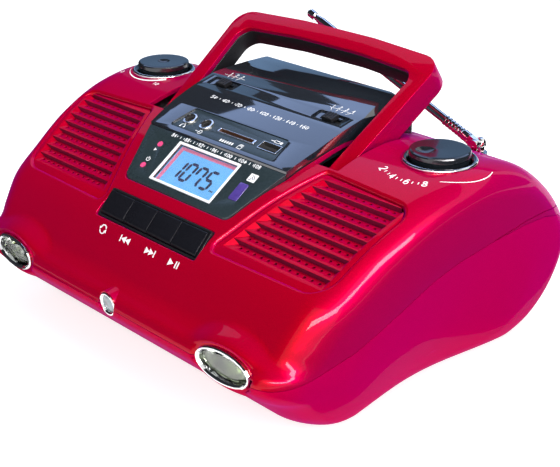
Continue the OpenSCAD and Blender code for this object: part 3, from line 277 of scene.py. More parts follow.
def rings_object(name, rings, closed_ends=True, smooth=False):
    """Skin over a list of rings with equal counts of points."""
    n = len(rings[0])
    points = [p for r in rings for p in r]
    faces = [(r * n + i, r * n + (i + 1) % n, (r + 1) * n + (i + 1) % n, (r + 1) * n + i)
             for r in range(len(rings) - 1) for i in range(n)]
    if closed_ends:
        faces += [range(n - 1, -1, -1), range((len(rings) - 1) * n, len(rings) * n)]
    return mesh_object(name, points, faces, smooth)


def place(obj, matrix):
    """Move a mesh by a matrix in millimetres."""
    m = matrix.copy()
    m.translation = m.translation * MM
    obj.data.transform(m)
    return obj


def finish_piece(obj, body, material, *replaced):
    """Give a piece its material and body, and hide the CAD nodes it stands for."""
    obj.data.materials.clear()
    obj.data.materials.append(material)
    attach(obj, body)
    if replaced:
        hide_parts(*replaced)
    return obj


# ---------- Materials ----------
def put(node, **values):
    """Set sockets of a node; an underscore stands for a space."""
    for socket, value in values.items():
        node.inputs[socket.replace("_", " ")].default_value = value


def add(tree, kind, **values):
    """New shader node with its sockets set."""
    node = tree.nodes.new("ShaderNode" + kind)
    put(node, **values)
    return node


def join(tree, node, **outputs):
    """Link outputs to sockets of a node; an underscore stands for a space."""
    for socket, output in outputs.items():
        tree.links.new(output, node.inputs[socket.replace("_", " ")])


def shader(name):
    """New material with its node tree and principled shader."""
    material = bpy.data.materials.new(name)
    material.use_nodes = True
    tree = material.node_tree
    return material, tree, tree.nodes["Principled BSDF"]


def plain(name, colour, roughness):
    material, _, bsdf = shader(name)
    put(bsdf, Base_Color=(*colour, 1), Roughness=roughness)
    return material


def noise(tree, scale, detail=2.0, stretch=None):
    """Noise in object space; stretch squeezes it along one axis for brushed grain."""
    source = add(tree, "TexCoord").outputs["Object"]
    texture = add(tree, "TexNoise", Scale=scale, Detail=detail)
    if stretch:
        mapping = add(tree, "Mapping", Scale=stretch)
        join(tree, mapping, Vector=source)
        source = mapping.outputs["Vector"]
    join(tree, texture, Vector=source)
    return texture.outputs["Fac"]


def spread(tree, value, low, high, start=0.3, end=0.7):
    """Map a noise value to a number between low and high."""
    node = add(tree, "MapRange", From_Min=start, From_Max=end, To_Min=low, To_Max=high)
    join(tree, node, Value=value)
    return node.outputs["Result"]


def shade(tree, value, dark, light, start=0.3, end=0.7):
    """Colour between two colours by a noise value."""
    ramp = add(tree, "ValToRGB")
    first, last = ramp.color_ramp.elements
    first.position = start
    first.color = (*dark, 1)
    last.position = end
    last.color = (*light, 1)
    join(tree, ramp, Fac=value)
    return ramp.outputs["Color"]


def relief(tree, bsdf, value, strength, distance):
    bump = add(tree, "Bump", Strength=strength, Distance=distance)
    join(tree, bump, Height=value)
    join(tree, bsdf, Normal=bump.outputs["Normal"])


def varied(name, dark, light, roughness, scale=900, grain=0.05, depth=0.00002, **sockets):
    """General finish: fine colour variation, slightly uneven gloss and a shallow grain."""
    material, tree, bsdf = shader(name)
    fine = noise(tree, scale, 3)
    broad = noise(tree, 35, 2)
    join(tree, bsdf, Base_Color=shade(tree, fine, dark, light),
         Roughness=spread(tree, broad, roughness * 0.88, min(1, roughness * 1.15)))
    relief(tree, bsdf, fine, grain, depth)
    put(bsdf, **sockets)
    return material


def candy_paint(name, dark, light, painted_reflection_tint, metallic, roughness, coat, sheen):
    """Metallic base with fine flakes and a clear coat. Its base colour turns rosier on faces towards the right
    and the rear: a painted reflection of violet light.
    """
    material, tree, bsdf = shader(name)
    flakes = noise(tree, 5200, 1)
    broad = noise(tree, 14, 2)
    # Painted reflection: faces towards the right and the rear get a rosier tint in the base colour.
    reflection_mask = add(tree, "VectorMath")
    reflection_mask.operation = "DOT_PRODUCT"
    reflection_mask.inputs[1].default_value = (0.55, 0.6, 0.1)
    tree.links.new(add(tree, "TexCoord").outputs["Normal"], reflection_mask.inputs[0])
    painted_reflection_tones = [tuple(c * k for c in painted_reflection_tint) for k in (0.86, 1.14)]
    base = add(tree, "MixRGB")
    join(tree, base, Fac=spread(tree, reflection_mask.outputs["Value"], 0, 1, -0.25, 0.65),
         Color1=shade(tree, flakes, dark, light, 0.35, 0.68),
         Color2=shade(tree, flakes, *painted_reflection_tones, 0.35, 0.68))
    join(tree, bsdf, Base_Color=base.outputs["Color"],
         Roughness=spread(tree, broad, roughness * 0.92, roughness * 1.08))
    relief(tree, bsdf, flakes, 0.04, 0.00001)
    put(bsdf, Metallic=metallic, Specular_IOR_Level=0.0, Specular_Tint=(1, 0.0, 0.12, 1),
        Coat_Weight=coat, Coat_Roughness=0.035,
        Sheen_Weight=sheen, Sheen_Roughness=0.4, Sheen_Tint=(0.42, 0.0, 1.0, 1))
    return material


def bright_metal(name, tint, roughness, scale=60, stretch=None):
    material, tree, bsdf = shader(name)
    smudge = noise(tree, scale, 3, stretch)
    put(bsdf, Metallic=1)
    join(tree, bsdf, Base_Color=shade(tree, smudge, [c * 0.9 for c in tint], tint),
         Roughness=spread(tree, smudge, roughness * 0.7, roughness * 1.4))
    return material


def reflector(name, dark, light):
    """Mirror of a lamp bowl whose base colour has broken dark patches: a painted reflection of the dark
    surroundings.
    """
    material, tree, bsdf = shader(name)
    # Painted reflection: dark and light patches in the mirror's base colour.
    painted_reflection_patches = noise(tree, 230, 2, (1.0, 0.6, 1.6))
    put(bsdf, Metallic=1)
    join(tree, bsdf, Base_Color=shade(tree, painted_reflection_patches, dark, light, 0.38, 0.56),
         Roughness=spread(tree, painted_reflection_patches, 0.05, 0.12))
    relief(tree, bsdf, painted_reflection_patches, 0.3, 0.0004)
    return material


def clear_plastic(name, tint, roughness=0.04, ior=1.49):
    material, tree, bsdf = shader(name)
    haze = noise(tree, 300, 2)
    put(bsdf, Base_Color=(*tint, 1), Transmission_Weight=1, IOR=ior)
    join(tree, bsdf, Roughness=spread(tree, haze, roughness * 0.6, roughness * 1.5))
    return material


def glowing(name, dark, light, strength, roughness=0.25, scale=60):
    material, tree, bsdf = shader(name)
    tint = shade(tree, noise(tree, scale, 2), dark, light)
    join(tree, bsdf, Base_Color=tint, Emission_Color=tint)
    put(bsdf, Emission_Strength=strength, Roughness=roughness)
    return material


# Each finish: its maker and what the maker takes after the name.
FINISHES = {
    # In the three red paints the third colour is a painted reflection: the rosier tint that faces towards the
    # right and the rear get.
    "gloss_red": (candy_paint, (0.38, 0.0, 0.006), (0.54, 0.0, 0.012), (0.42, 0.0, 0.06), 0.4, 0.34, 0.3,
                  0.25),
    "satin_red": (candy_paint, (0.44, 0.0, 0.030), (0.58, 0.0, 0.040), (0.46, 0.0, 0.065), 0.3, 0.42,
                  0.06, 0.2),
    "grille_red": (candy_paint, (0.40, 0.0, 0.010), (0.56, 0.0, 0.016), (0.44, 0.0, 0.026), 0.4, 0.36,
                   0.2, 0.2),
    "panel_gloss": (varied, (0.010, 0.013, 0.018), (0.014, 0.018, 0.024), 0.06, 700, 0.02, 0.00001,
                    dict(Coat_Weight=1, Coat_Roughness=0.03, Specular_IOR_Level=1)),
    "panel_dark": (varied, (0.016, 0.026, 0.029), (0.022, 0.034, 0.038), 0.24, 900, 0.05),
    "white_print": (varied, (0.80, 0.80, 0.79), (0.88, 0.88, 0.87), 0.35, 500),
    "clear_window": (clear_plastic, (0.96, 0.98, 1.0)),
    "lcd_blue": (glowing, (0.09, 0.34, 0.68), (0.12, 0.40, 0.74), 0.22),
    "bright_metal": (bright_metal, (0.86, 0.85, 0.82), 0.18),
    "led_red": (glowing, (0.62, 0.04, 0.15), (0.8, 0.09, 0.24), 0.12, 0.2, 900),
    "ir_violet": (varied, (0.060, 0.035, 0.20), (0.09, 0.055, 0.28), 0.12, 400, 0.02,
                  dict(Coat_Weight=0.8)),
    "black_plastic": (varied, (0.007, 0.007, 0.008), (0.012, 0.012, 0.014), 0.38, 1400, 0.15,
                      dict(Specular_IOR_Level=0.3)),
    "key_black": (varied, (0.005, 0.005, 0.007), (0.009, 0.009, 0.012), 0.30, 1200, 0.06,
                  dict(Specular_IOR_Level=0.12)),
    "knob_black": (varied, (0.006, 0.008, 0.010), (0.011, 0.014, 0.018), 0.16, 900, 0.03,
                   dict(Coat_Weight=0.5, Coat_Roughness=0.05)),
    "steel": (bright_metal, (0.56, 0.57, 0.58), 0.34, 90, (1, 1, 8)),
    "circuit_green": (varied, (0.015, 0.10, 0.045), (0.02, 0.14, 0.06), 0.4, 300),
    "chrome": (bright_metal, (0.86, 0.87, 0.87), 0.08),
    "white_plastic": (varied, (0.72, 0.72, 0.69), (0.8, 0.8, 0.77), 0.5),
    "paper_black": (varied, (0.010, 0.010, 0.010), (0.02, 0.02, 0.02), 0.85, 2200, 0.5, 0.00006),
    # The lamp bowls' mirror carries painted reflection patches in its base colour.
    "mirror": (reflector, (0.045, 0.05, 0.018), (0.56, 0.60, 0.46)),
    "clear_lens": (clear_plastic, (0.97, 1.0, 0.97), 0.02, 1.58),
    "led_white": (glowing, (0.62, 0.46, 0.10), (0.72, 0.56, 0.16), 0.05, 0.2, 400),
    "grey_lens": (varied, (0.28, 0.34, 0.34), (0.38, 0.44, 0.44), 0.2, 500, 0.05, dict(Coat_Weight=0.6)),
    "ferrite": (varied, (0.03, 0.03, 0.03), (0.05, 0.05, 0.05), 0.6),
    "copper_winding": (bright_metal, (0.55, 0.25, 0.10), 0.35, 200, (1, 30, 1)),
    "rubber": (varied, (0.012, 0.012, 0.012), (0.022, 0.022, 0.022), 0.8, 1500, 0.3, 0.00005),
    # Darker red laid on the grille's risers and pockets as painted shade.
    "groove_red": (varied, (0.09, 0.0, 0.012), (0.14, 0.0, 0.022), 0.5, 900, 0.1,
                   dict(Specular_IOR_Level=0.1)),
    "card_brown": (varied, (0.07, 0.03, 0.015), (0.12, 0.05, 0.025), 0.5, 500),
    "ink": (varied, (0.004, 0.005, 0.055), (0.006, 0.007, 0.07), 0.5, 800, 0.02,
            dict(Specular_IOR_Level=0.1)),
    # Rose colour of the painted reflection in the window recess's wall.
    "rose_frame": (varied, (0.74, 0.16, 0.30), (0.82, 0.20, 0.36), 0.5, 500),
}


def make_materials():
    made = {}
    for name, (maker, *values) in FINISHES.items():
        sockets = values.pop() if isinstance(values[-1], dict) else {}
        made[name] = maker(name, *values, **sockets)
    return made


# ---------- Housing form (the same curves as the CAD shells) ----------
low_shell, high_shell = node_box("bottom_shell")
HALF_D = (high_shell.y - low_shell.y) / 2
FLOOR_Z = low_shell.z
low_top, high_top = node_box("top_shell")
BODY_W = high_top.x - low_top.x
BODY_H = 113.0
WALL = 2.4
SHOULDER_W, SHOULDER_IN = 21.0, 19.0
SIDE_TAPER, SIDE_WAIST, SHOULDER_DROP = 0.18, 0.06, 0.8
CROWN_RISE, CAP_IN = 2.2, 46.0
OUTLINE_POINTS = [(-108, 39), (-106.3, 45), (-101, 48.5), (-97, 52), (-92.5, 59), (-83, 71.5), (-68, 82.5),
                  (-46, 97), (-20, 108.2), (8, 113), (32, 110.5), (54, 103), (76, 88.5), (94, 72), (105, 57),
                  (108, 40), (104, 22), (93, 9), (77, 2.8), (64, 2), (57, 2), (28, 2), (0, 2), (-28, 2),
                  (-53, 2), (-60, 2.1), (-71, 5), (-85, 14), (-97, 27), (-104, 33)]
SEAM_POINTS = [(-125, 40.5), (-104, 40.8), (-84, 43.5), (-63, 48), (-40, 57.5), (-15, 68.5), (0, 72.5),
               (24, 76), (48, 77), (66, 75.5), (82, 71), (96, 62), (125, 50)]
FY = HALF_D / 108
FZ = (BODY_H - FLOOR_Z) / 111
CROWN_SPANS = 14


def at(y, z):
    return np.array([y * FY, FLOOR_Z + (z - 2) * FZ])


def smooth_loop(points, steps):
    """Closed smooth curve through the points."""
    p = np.array([at(*q) for q in points])
    out = []
    for i in range(len(p)):
        p0, p1, p2, p3 = p[i - 1], p[i], p[(i + 1) % len(p)], p[(i + 2) % len(p)]
        for t in np.arange(steps) / steps:
            out.append(0.5 * (2 * p1 + (p2 - p0) * t + (2 * p0 - 5 * p1 + 4 * p2 - p3) * t * t
                              + (3 * p1 - p0 - 3 * p2 + p3) * t ** 3))
    return np.array(out)


OUTLINE_STEPS = 9
OUTLINE = smooth_loop(OUTLINE_POINTS, OUTLINE_STEPS)
CROWN = OUTLINE[:CROWN_SPANS * OUTLINE_STEPS + 1]


def crown_z(y):
    return float(np.interp(y, CROWN[:, 0], CROWN[:, 1]))


def inward(p, d):
    along = np.roll(p, -1, 0) - np.roll(p, 1, 0)
    along /= np.linalg.norm(along, axis=1)[:, None]
    return p + d * np.stack([along[:, 1], -along[:, 0]], 1)


DRAW_Y, DRAW_Z = 4 * FY, FLOOR_Z + 18 * FZ
SHOULDER_Z = BODY_H - SHOULDER_DROP * SHOULDER_IN


def low_share(z):
    return (BODY_H - z) / (BODY_H - FLOOR_Z)


FULL_HALF = BODY_W / 2 / (1 - SIDE_TAPER * low_share(SHOULDER_Z)) + CROWN_RISE


def ring(outline, reach, inset):
    """One section of the housing, drawn in from the outline."""
    y = DRAW_Y + (outline[:, 0] - DRAW_Y) * (1 - inset / HALF_D)
    z = DRAW_Z + (outline[:, 1] - DRAW_Z) * (1 - SHOULDER_DROP * inset / (BODY_H - DRAW_Z))
    waist = np.where(np.abs(y) < 70,
                     1 - SIDE_WAIST * low_share(z) ** 2 * (1 + np.cos(np.pi * y / 70)) / 2, 1)
    return np.stack([reach * (1 - SIDE_TAPER * low_share(z)) * waist, y, z], 1)


def stations(less, middle, shoulder, side):
    """Reach and inset of the sections from the middle outwards."""
    start = FULL_HALF - less - CROWN_RISE - SHOULDER_W
    rows = [(start * k / middle, 0) for k in range(middle)]
    for k in range(shoulder + 1):
        a = math.radians(84 * k / shoulder)
        rows.append((start + SHOULDER_W * math.sin(a), SHOULDER_IN * (1 - math.cos(a))))
    reach, inset = rows[-1]
    rise = FULL_HALF - less - reach
    for k in range(1, side + 1):
        t = k / side
        rows.append((FULL_HALF - less - rise * (1 - t) ** 1.45, inset + (CAP_IN - inset) * t))
    for share in (0.25, 0.5, 0.75, 0.95):
        rows.append((FULL_HALF - less, CAP_IN + (HALF_D - CAP_IN) * share))
    return rows


lamp_low, lamp_high = node_box("right_lamp_bezel")
LAMP_X, _, LAMP_Z = middle("right_lamp_bezel")
LAMP_RX = (lamp_high.x - lamp_low.x) / 2
LAMP_RZ = (lamp_high.z - lamp_low.z) / 2
LAMP_SEAT = lamp_low.y + 3.25
LAMP_YAW = math.radians(3)


def pods(p):
    """Draw the front out to the lamps' seats, with a smooth blend round each lamp."""
    p = p.copy()
    for side in (-1, 1):
        u = (p[:, 0] - side * LAMP_X) / (LAMP_RX + 1.2)
        v = (p[:, 2] - LAMP_Z) / (LAMP_RZ + 1.2)
        r = np.sqrt(u * u + v * v)
        t = np.clip((1.62 - r) / 0.62, 0, 1)
        w = t * t * (3 - 2 * t) * (p[:, 1] < -60)
        seat = LAMP_SEAT + side * (p[:, 0] - side * LAMP_X) * math.tan(LAMP_YAW)
        p[:, 1] = np.minimum(p[:, 1], p[:, 1] * (1 - w) + seat * w) * (r >= 1) + \
            (p[:, 1] * (1 - w) + seat * w) * (r < 1)
    return p


def housing_loft(name, outline, less, middle, shoulder, side, form=lambda p: p):
    rows = stations(less, middle, shoulder, side)
    rings = [ring(outline, -x, i) for x, i in rows[:0:-1]] + [ring(outline, x, i) for x, i in rows]
    return rings_object(name, [form(r) for r in rings], smooth=True)


def cross_prism(name, outline):
    """Prism right across the housing over an outline of (y, z)."""
    n = len(outline)
    points = [(x, q[0], q[1]) for x in (-BODY_W, BODY_W) for q in outline]
    faces = [range(n - 1, -1, -1), range(n, 2 * n)]
    faces += [(i, (i + 1) % n, n + (i + 1) % n, n + i) for i in range(n)]
    return outward(mesh_object(name, points, faces))


def shell_prism(name, lift, above=True):
    """Everything above (or below) the parting line."""
    seam = [at(*q) + np.array([0, lift]) for q in SEAM_POINTS]
    z = 2 * BODY_H if above else -BODY_H
    return cross_prism(name, seam + [(2 * HALF_D, z), (-2 * HALF_D, z)])


def outward(obj):
    """Turn all faces of a closed mesh outwards."""
    work = bmesh.new()
    work.from_mesh(obj.data)
    bmesh.ops.recalc_face_normals(work, faces=work.faces)
    if work.calc_volume(signed=True) < 0:
        bmesh.ops.reverse_faces(work, faces=work.faces)
    work.to_mesh(obj.data)
    work.free()
    return obj


class Skin:
    """The uncut outer surface, for its smooth normals and for marks laid on it."""

    def __init__(self, obj):
        work = bmesh.new()
        work.from_mesh(obj.data)
        bmesh.ops.triangulate(work, faces=work.faces)
        work.normal_update()
        self.tree = BVHTree.FromBMesh(work)
        self.co = [v.co.copy() for v in work.verts]
        self.normals = [v.normal.copy() for v in work.verts]
        self.tris = [[v.index for v in f.verts] for f in work.faces]
        work.free()

    def normal(self, point, index):
        a, b, c = self.tris[index]
        n = barycentric_transform(point, self.co[a], self.co[b], self.co[c],
                                  self.normals[a], self.normals[b], self.normals[c])
        return n.normalized()

    def lend(self, obj, angle=35):
        """Give the faces of a cut shell that still lie on this surface its smooth normals."""
        soften(obj, angle)
        mesh = obj.data
        normals = [Vector(n.vector) for n in mesh.corner_normals]
        for face in mesh.polygons:
            found = self.tree.find_nearest(face.center, 0.0004)
            if found[0] is None or found[1].dot(face.normal) < 0.93:
                continue
            near = [self.tree.find_nearest(mesh.vertices[v].co, 0.0002) for v in face.vertices]
            if any(h[0] is None for h in near):
                continue
            for loop, h in zip(face.loop_indices, near):
                normals[loop] = self.normal(h[0], h[2])
        mesh.normals_split_custom_set([tuple(n) for n in normals])
        return obj


# ---------- Outlines shared by several pieces ----------
def rounded(points, steps=8):
    """Outline with each corner (x, y, radius) rounded by an arc."""
    out = []
    n = len(points)
    for i, (x, y, r) in enumerate(points):
        b = Vector((x, y))
        if r <= 0:
            out.append(b)
            continue
        u = (Vector(points[i - 1][:2]) - b).normalized()
        w = (Vector(points[(i + 1) % n][:2]) - b).normalized()
        half = math.acos(max(-1, min(1, u.dot(w)))) / 2
        centre = b + (u + w).normalized() * r / math.sin(half)
        p = b + u * r / math.tan(half) - centre
        q = b + w * r / math.tan(half) - centre
        start = math.atan2(p.y, p.x)
        swing = (math.atan2(q.y, q.x) - start + math.pi) % (2 * math.pi) - math.pi
        angles = [start + swing * k / steps for k in range(steps + 1)]
        out += [centre + r * Vector((math.cos(a), math.sin(a))) for a in angles]
    return out


def box_outline(w, h, r):
    return rounded([(-w / 2, -h / 2, r), (w / 2, -h / 2, r), (w / 2, h / 2, r), (-w / 2, h / 2, r)])


def oval(rx, ry, n=72):
    angles = [2 * math.pi * k / n for k in range(n)]
    return [Vector((rx * math.cos(a), ry * math.sin(a))) for a in angles]


def dense(outline, step=1.5):
    """Outline with extra points, so that no stretch is longer than step."""
    out = []
    for a, b in zip(outline, outline[1:] + outline[:1]):
        n = max(1, math.ceil((b - a).length / step))
        out += [a + (b - a) * k / n for k in range(n)]
    return out


def turned(angle_x, place_at):
    return Matrix.Translation(Vector(place_at)) @ Matrix.Rotation(angle_x, 4, "X")


DISPLAY_SLOPE = math.radians(34)
DISPLAY_FRONT, DISPLAY_BACK = -64.3 * FY, -37 * FY
BRIDGE_FRONT, BRIDGE_REAR = 39.0, node_box("bridge_cover")[1].x
BRIDGE_BACK = node_box("bridge_cover")[1].y
BRIDGE_SPLIT = BRIDGE_REAR - 11
display_low = crown_z(DISPLAY_FRONT) + 0.5
display_rise = (DISPLAY_BACK - DISPLAY_FRONT) / 2 * math.tan(DISPLAY_SLOPE)
ON_DISPLAY = turned(DISPLAY_SLOPE, (0, (DISPLAY_FRONT + DISPLAY_BACK) / 2, display_low + display_rise))
key_low, key_high = node_box("key_frame")
KEY_SLOPE = math.radians(46)
ON_KEYS = turned(KEY_SLOPE, (0, -78.3 * FY, crown_z(-78.3 * FY) + 0.9))
ARM_IN = 56.9
PART_GAP = 0.3
GRILLE_CORNERS = [(BRIDGE_FRONT + 2, -78 * FY, 3), (BODY_W / 2 - 19, -78 * FY + 1, 13),
                  (BODY_W / 2 - 11, -25 * FY - 3, 7), (BRIDGE_REAR + 3.5, -25 * FY, 3)]


def opening_outline(gap):
    """Opening of the top shell for the display and the bridge in one line."""
    half = [(BRIDGE_FRONT, DISPLAY_FRONT, 5), (BRIDGE_SPLIT, DISPLAY_BACK, 0), (ARM_IN - 3.2, -20, 12),
            (ARM_IN - 1, 24, 10), (BRIDGE_REAR, BRIDGE_BACK - 6, 5), (BRIDGE_REAR, BRIDGE_BACK, 3)]
    half = [(x + gap, y + (gap if y > 0 else -gap if y < DISPLAY_FRONT + 1 else 0), r) for x, y, r in half]
    return rounded(half + [(-x, y, r) for x, y, r in half[::-1]])


def flared(name, matrix, outline, skin, fillet, depth):
    """Cutter through the skin, straight along the matrix's -Z, whose mouth leaves a rounded edge."""
    outline = dense(outline)
    n = len(outline)
    down = -(matrix.to_3x3() @ Vector((0, 0, 1)))
    rings = [[] for _ in range(9)]
    for i, p in enumerate(outline):
        along = (outline[(i + 1) % n] - outline[i - 1]).normalized()
        out = matrix.to_3x3() @ Vector((along.y, -along.x, 0))
        start = matrix @ Vector((p.x, p.y, 200))
        hit, _, index, _ = skin.tree.ray_cast(start * MM, down)
        s, normal = hit / MM, skin.normal(hit, index)
        t = (out - out.dot(normal) * normal).normalized()
        wide = s + t * (fillet + 0.5) + normal * 0.6
        rings[0].append(wide - down * 60)
        rings[1].append(wide)
        for k in range(6):
            a = math.pi / 2 * k / 5
            rings[2 + k].append(s + t * fillet * (1 - math.sin(a)) - normal * fillet * (1 - math.cos(a)))
        rings[8].append(s + down * depth)
    return outward(rings_object(name, rings))


def local_prism(name, matrix, outline, low, high):
    return outward(place(prism(name, outline, low, high), matrix))


def box_piece(name, low, high):
    a, b = Vector(low), Vector(high)
    return outward(prism(name, [(a.x, a.y), (b.x, a.y), (b.x, b.y), (a.x, b.y)], a.z, b.z))


# ---------- Housing shells ----------
def lamp_frame(side):
    return Matrix.Translation((side * LAMP_X, LAMP_SEAT, LAMP_Z)) @ \
        Matrix.Rotation(side * LAMP_YAW, 4, "Z") @ Matrix.Rotation(math.pi / 2, 4, "X")


mid_low, mid_high = node_box("middle_lamp_bezel")
MID_R = (mid_high.x - mid_low.x) / 2
MID_FRAME = Matrix.Translation((0, mid_low.y + 1.4, LAMP_Z)) @ Matrix.Rotation(math.radians(94.5), 4, "X")
KNOBS = {"volume": round_place("volume_trim"), "tuning": round_place("tuning_trim")}
ARM_X = node_box("handle_brackets")[1].x


def lamp_cutters():
    tools = []
    for side in (-1, 1):
        tools.append(local_prism("seat", lamp_frame(side), oval(LAMP_RX + 0.2, LAMP_RZ + 0.2), -0.1, 20))
        tools.append(local_prism("hole", lamp_frame(side), oval(LAMP_RX - 1, LAMP_RZ - 1), -25, 20))
    circle = oval(MID_R + 0.2, MID_R + 0.2, 48)
    tools.append(local_prism("seat", MID_FRAME, circle, -0.5, 20))
    tools.append(local_prism("hole", MID_FRAME, [p * 0.9 for p in circle], -14, 20))
    return tools


def lamp_collars():
    """Short collars of the housing that the three lamp rings sit in."""
    tools = [local_prism("collar", MID_FRAME, oval(MID_R + 0.7, MID_R + 0.7, 48), -9, 0.2)]
    for side in (-1, 1):
        tools.append(local_prism("collar", lamp_frame(side), oval(LAMP_RX + 1.3, LAMP_RZ + 1.3), -14, 0.7))
    return tools


def second_line(core):
    """Fine groove that runs a little above the parting line round the rear."""
    seam = [at(*q) for q in SEAM_POINTS if q[0] >= 24]
    rise = [4.4 * min(1, max(0, (q[0] - 24) / 60)) for q in seam]
    lower = [(q[0], q[1] + r) for q, r in zip(seam, rise)]
    upper = [(q[0], q[1] + r + 0.55) for q, r in zip(seam, rise)]
    return combine(cross_prism("line", lower + upper[::-1]), [core])


SEAT_GAP = 0.3
SLOT_FRONT, SLOT_BACK, SLOT_W = -22.7, 21.6, 15.4
KEY_HOLE_L = 16.6
TOP = 150
SCREW_HOLE_R, SCREW_HEAD_R, REAR_SCREW_X = 3.2, 2.9, 42.6
BAY_X, BAY_FRONT, BAY_BACK, BAY_TOP, BAY_WALL = 66, -14, 58, 39, 2
INLET_HOLE = (21.6, 12.6, 0.8)
VENT_HOLE = (14.4, 2.4, 1.19)


def upper_cutters(skin, inner):
    """All that is taken from the housing form to leave the top shell."""
    tools = [outward(housing_loft("core", inner, WALL, 4, 6, 2)), shell_prism("below", PART_GAP / 2, False)]
    tools.append(flared("bridge_hole", Matrix(), opening_outline(PART_GAP), skin, 0.9, 30))
    for side in (-1, 1):
        outline = [Vector((side * p.x, p.y)) for p in rounded(GRILLE_CORNERS)]
        tools.append(flared("grille_hole", Matrix(), outline[::side], skin, 2.3, 20))
        x1 = ARM_X - 0.2
        x0 = x1 - SLOT_W
        slot = [(side * x0, SLOT_FRONT, 1), (side * x1, SLOT_FRONT, 1), (side * x1, SLOT_BACK, 1),
                (side * x0, SLOT_BACK, 1)]
        tools.append(flared("arm_hole", Matrix(), rounded(slot[::side], 4), skin, 0.5, 24))
    key_w = key_high.x - key_low.x + 0.6
    tools.append(flared("key_hole", ON_KEYS, box_outline(key_w, KEY_HOLE_L, 1.4), skin, 0.6, 14))
    for x, y, r in KNOBS.values():
        matrix = Matrix.Translation((x, y, 0))
        tools.append(local_prism("seat", matrix, oval(r + SEAT_GAP, r + SEAT_GAP), BODY_H - 1.2, TOP))
        tools.append(local_prism("cup", matrix, oval(r - 1, r - 1), BODY_H - 10, TOP))
    x, y, _ = round_place("aerial_socket")
    tools.append(local_prism("aerial_hole", Matrix.Translation((x, y, 0)), oval(6, 6, 48), 70, TOP))
    tools += lamp_cutters()
    core = outward(housing_loft("core", inward(OUTLINE[::3], 0.5), 0.5, 4, 10, 3))
    tools.append(second_line(core))
    return tools


def lower_cutters():
    """All that is taken from the lower housing once its bay is in."""
    door_low, door_high = node_box("battery_door")
    x, y = door_high.x + SEAT_GAP, door_low.y - SEAT_GAP
    tools = [shell_prism("above", -PART_GAP / 2),
             box_piece("door_hole", (-x, y, -1), (x, HALF_D * 2, door_high.z + 0.1)),
             box_piece("bay_hole", (-BAY_X, BAY_FRONT * FY, -1), (BAY_X, BAY_BACK * FY, BAY_TOP))]
    x, _, z = middle("ac_inlet")
    matrix = Matrix.Translation((x, node_box("ac_inlet")[1].y, z)) @ Matrix.Rotation(-math.pi / 2, 4, "X")
    tools.append(local_prism("inlet_hole", matrix, box_outline(*INLET_HOLE), -30, 10))
    foot = node_box("feet")[1]
    for side in (-1, 1):
        for k in range(-4, 5, 2):
            at_vent = Vector((side * (foot.x - 7 + 4), k * 5))
            tools.append(local_prism("vent", Matrix(), [at_vent + p for p in box_outline(*VENT_HOLE)], -1, 8))
    low, high = node_box("screws")
    places = [(x, high.y - SCREW_HEAD_R) for x in (low.x + SCREW_HEAD_R, high.x - SCREW_HEAD_R)]
    places += [(x, low.y + SCREW_HEAD_R) for x in (-REAR_SCREW_X, REAR_SCREW_X)]
    for x, y in places:
        hole = oval(SCREW_HOLE_R, SCREW_HOLE_R, 32)
        tools.append(local_prism("screw_hole", Matrix.Translation((x, y, 0)), hole, -1, 10))
    return tools + lamp_cutters()


def build_shells(materials):
    """Both shells cut from one form, with the smooth normals of that form."""
    outside = outward(housing_loft("housing_form", OUTLINE, 0, 60, 14, 5, pods))
    skin = Skin(outside)
    combine(outside, lamp_collars(), "UNION")
    inner = inward(OUTLINE[::3], WALL)
    top = outside.copy()
    top.data = outside.data.copy()
    link(top)
    top.name = "upper_housing"
    combine(top, upper_cutters(skin, inner))
    skin.lend(top)
    finish_piece(top, "root", materials["gloss_red"], "top_shell")

    bottom = outside
    bottom.name = "lower_housing"
    combine(bottom, [outward(housing_loft("core", inner, WALL, 4, 6, 2))])
    bay = box_piece("bay", (-BAY_X - BAY_WALL, (BAY_FRONT - BAY_WALL) * FY, FLOOR_Z + 0.4),
                    (BAY_X + BAY_WALL, (BAY_BACK + BAY_WALL) * FY, BAY_TOP + BAY_WALL))
    web = box_piece("web", (-70, BAY_BACK * FY, FLOOR_Z + 2),
                    (70, node_box("battery_door")[1].y + 2, FLOOR_Z + 4.6))
    combine(bottom, [bay, web], "UNION")
    combine(bottom, lower_cutters())
    skin.lend(bottom)
    finish_piece(bottom, "root", materials["satin_red"], "bottom_shell")
    return skin


# ---------- Socket and switch places ----------
def mount(name):
    """Place in millimetres and axis of a mount of the record."""
    found = next(m for m in frame["record"]["mounts"] if m["name"] == name)
    return Vector(found["pos_m"]) / MM, Vector(found["axis"])


phones, socket_axis = mount("phones_socket")
STRIP_AT = phones + socket_axis * 6
PHONES_X, LINE_X = phones.x, mount("line_in_socket")[0].x
ON_STRIP = turned(math.atan2(-socket_axis.y, socket_axis.z), (0, STRIP_AT.y, STRIP_AT.z))


CARD_X, USB_X = middle("card_socket")[0], middle("usb_socket")[0]
SWITCH_X, SWITCH_Y, _ = middle("band_switch")


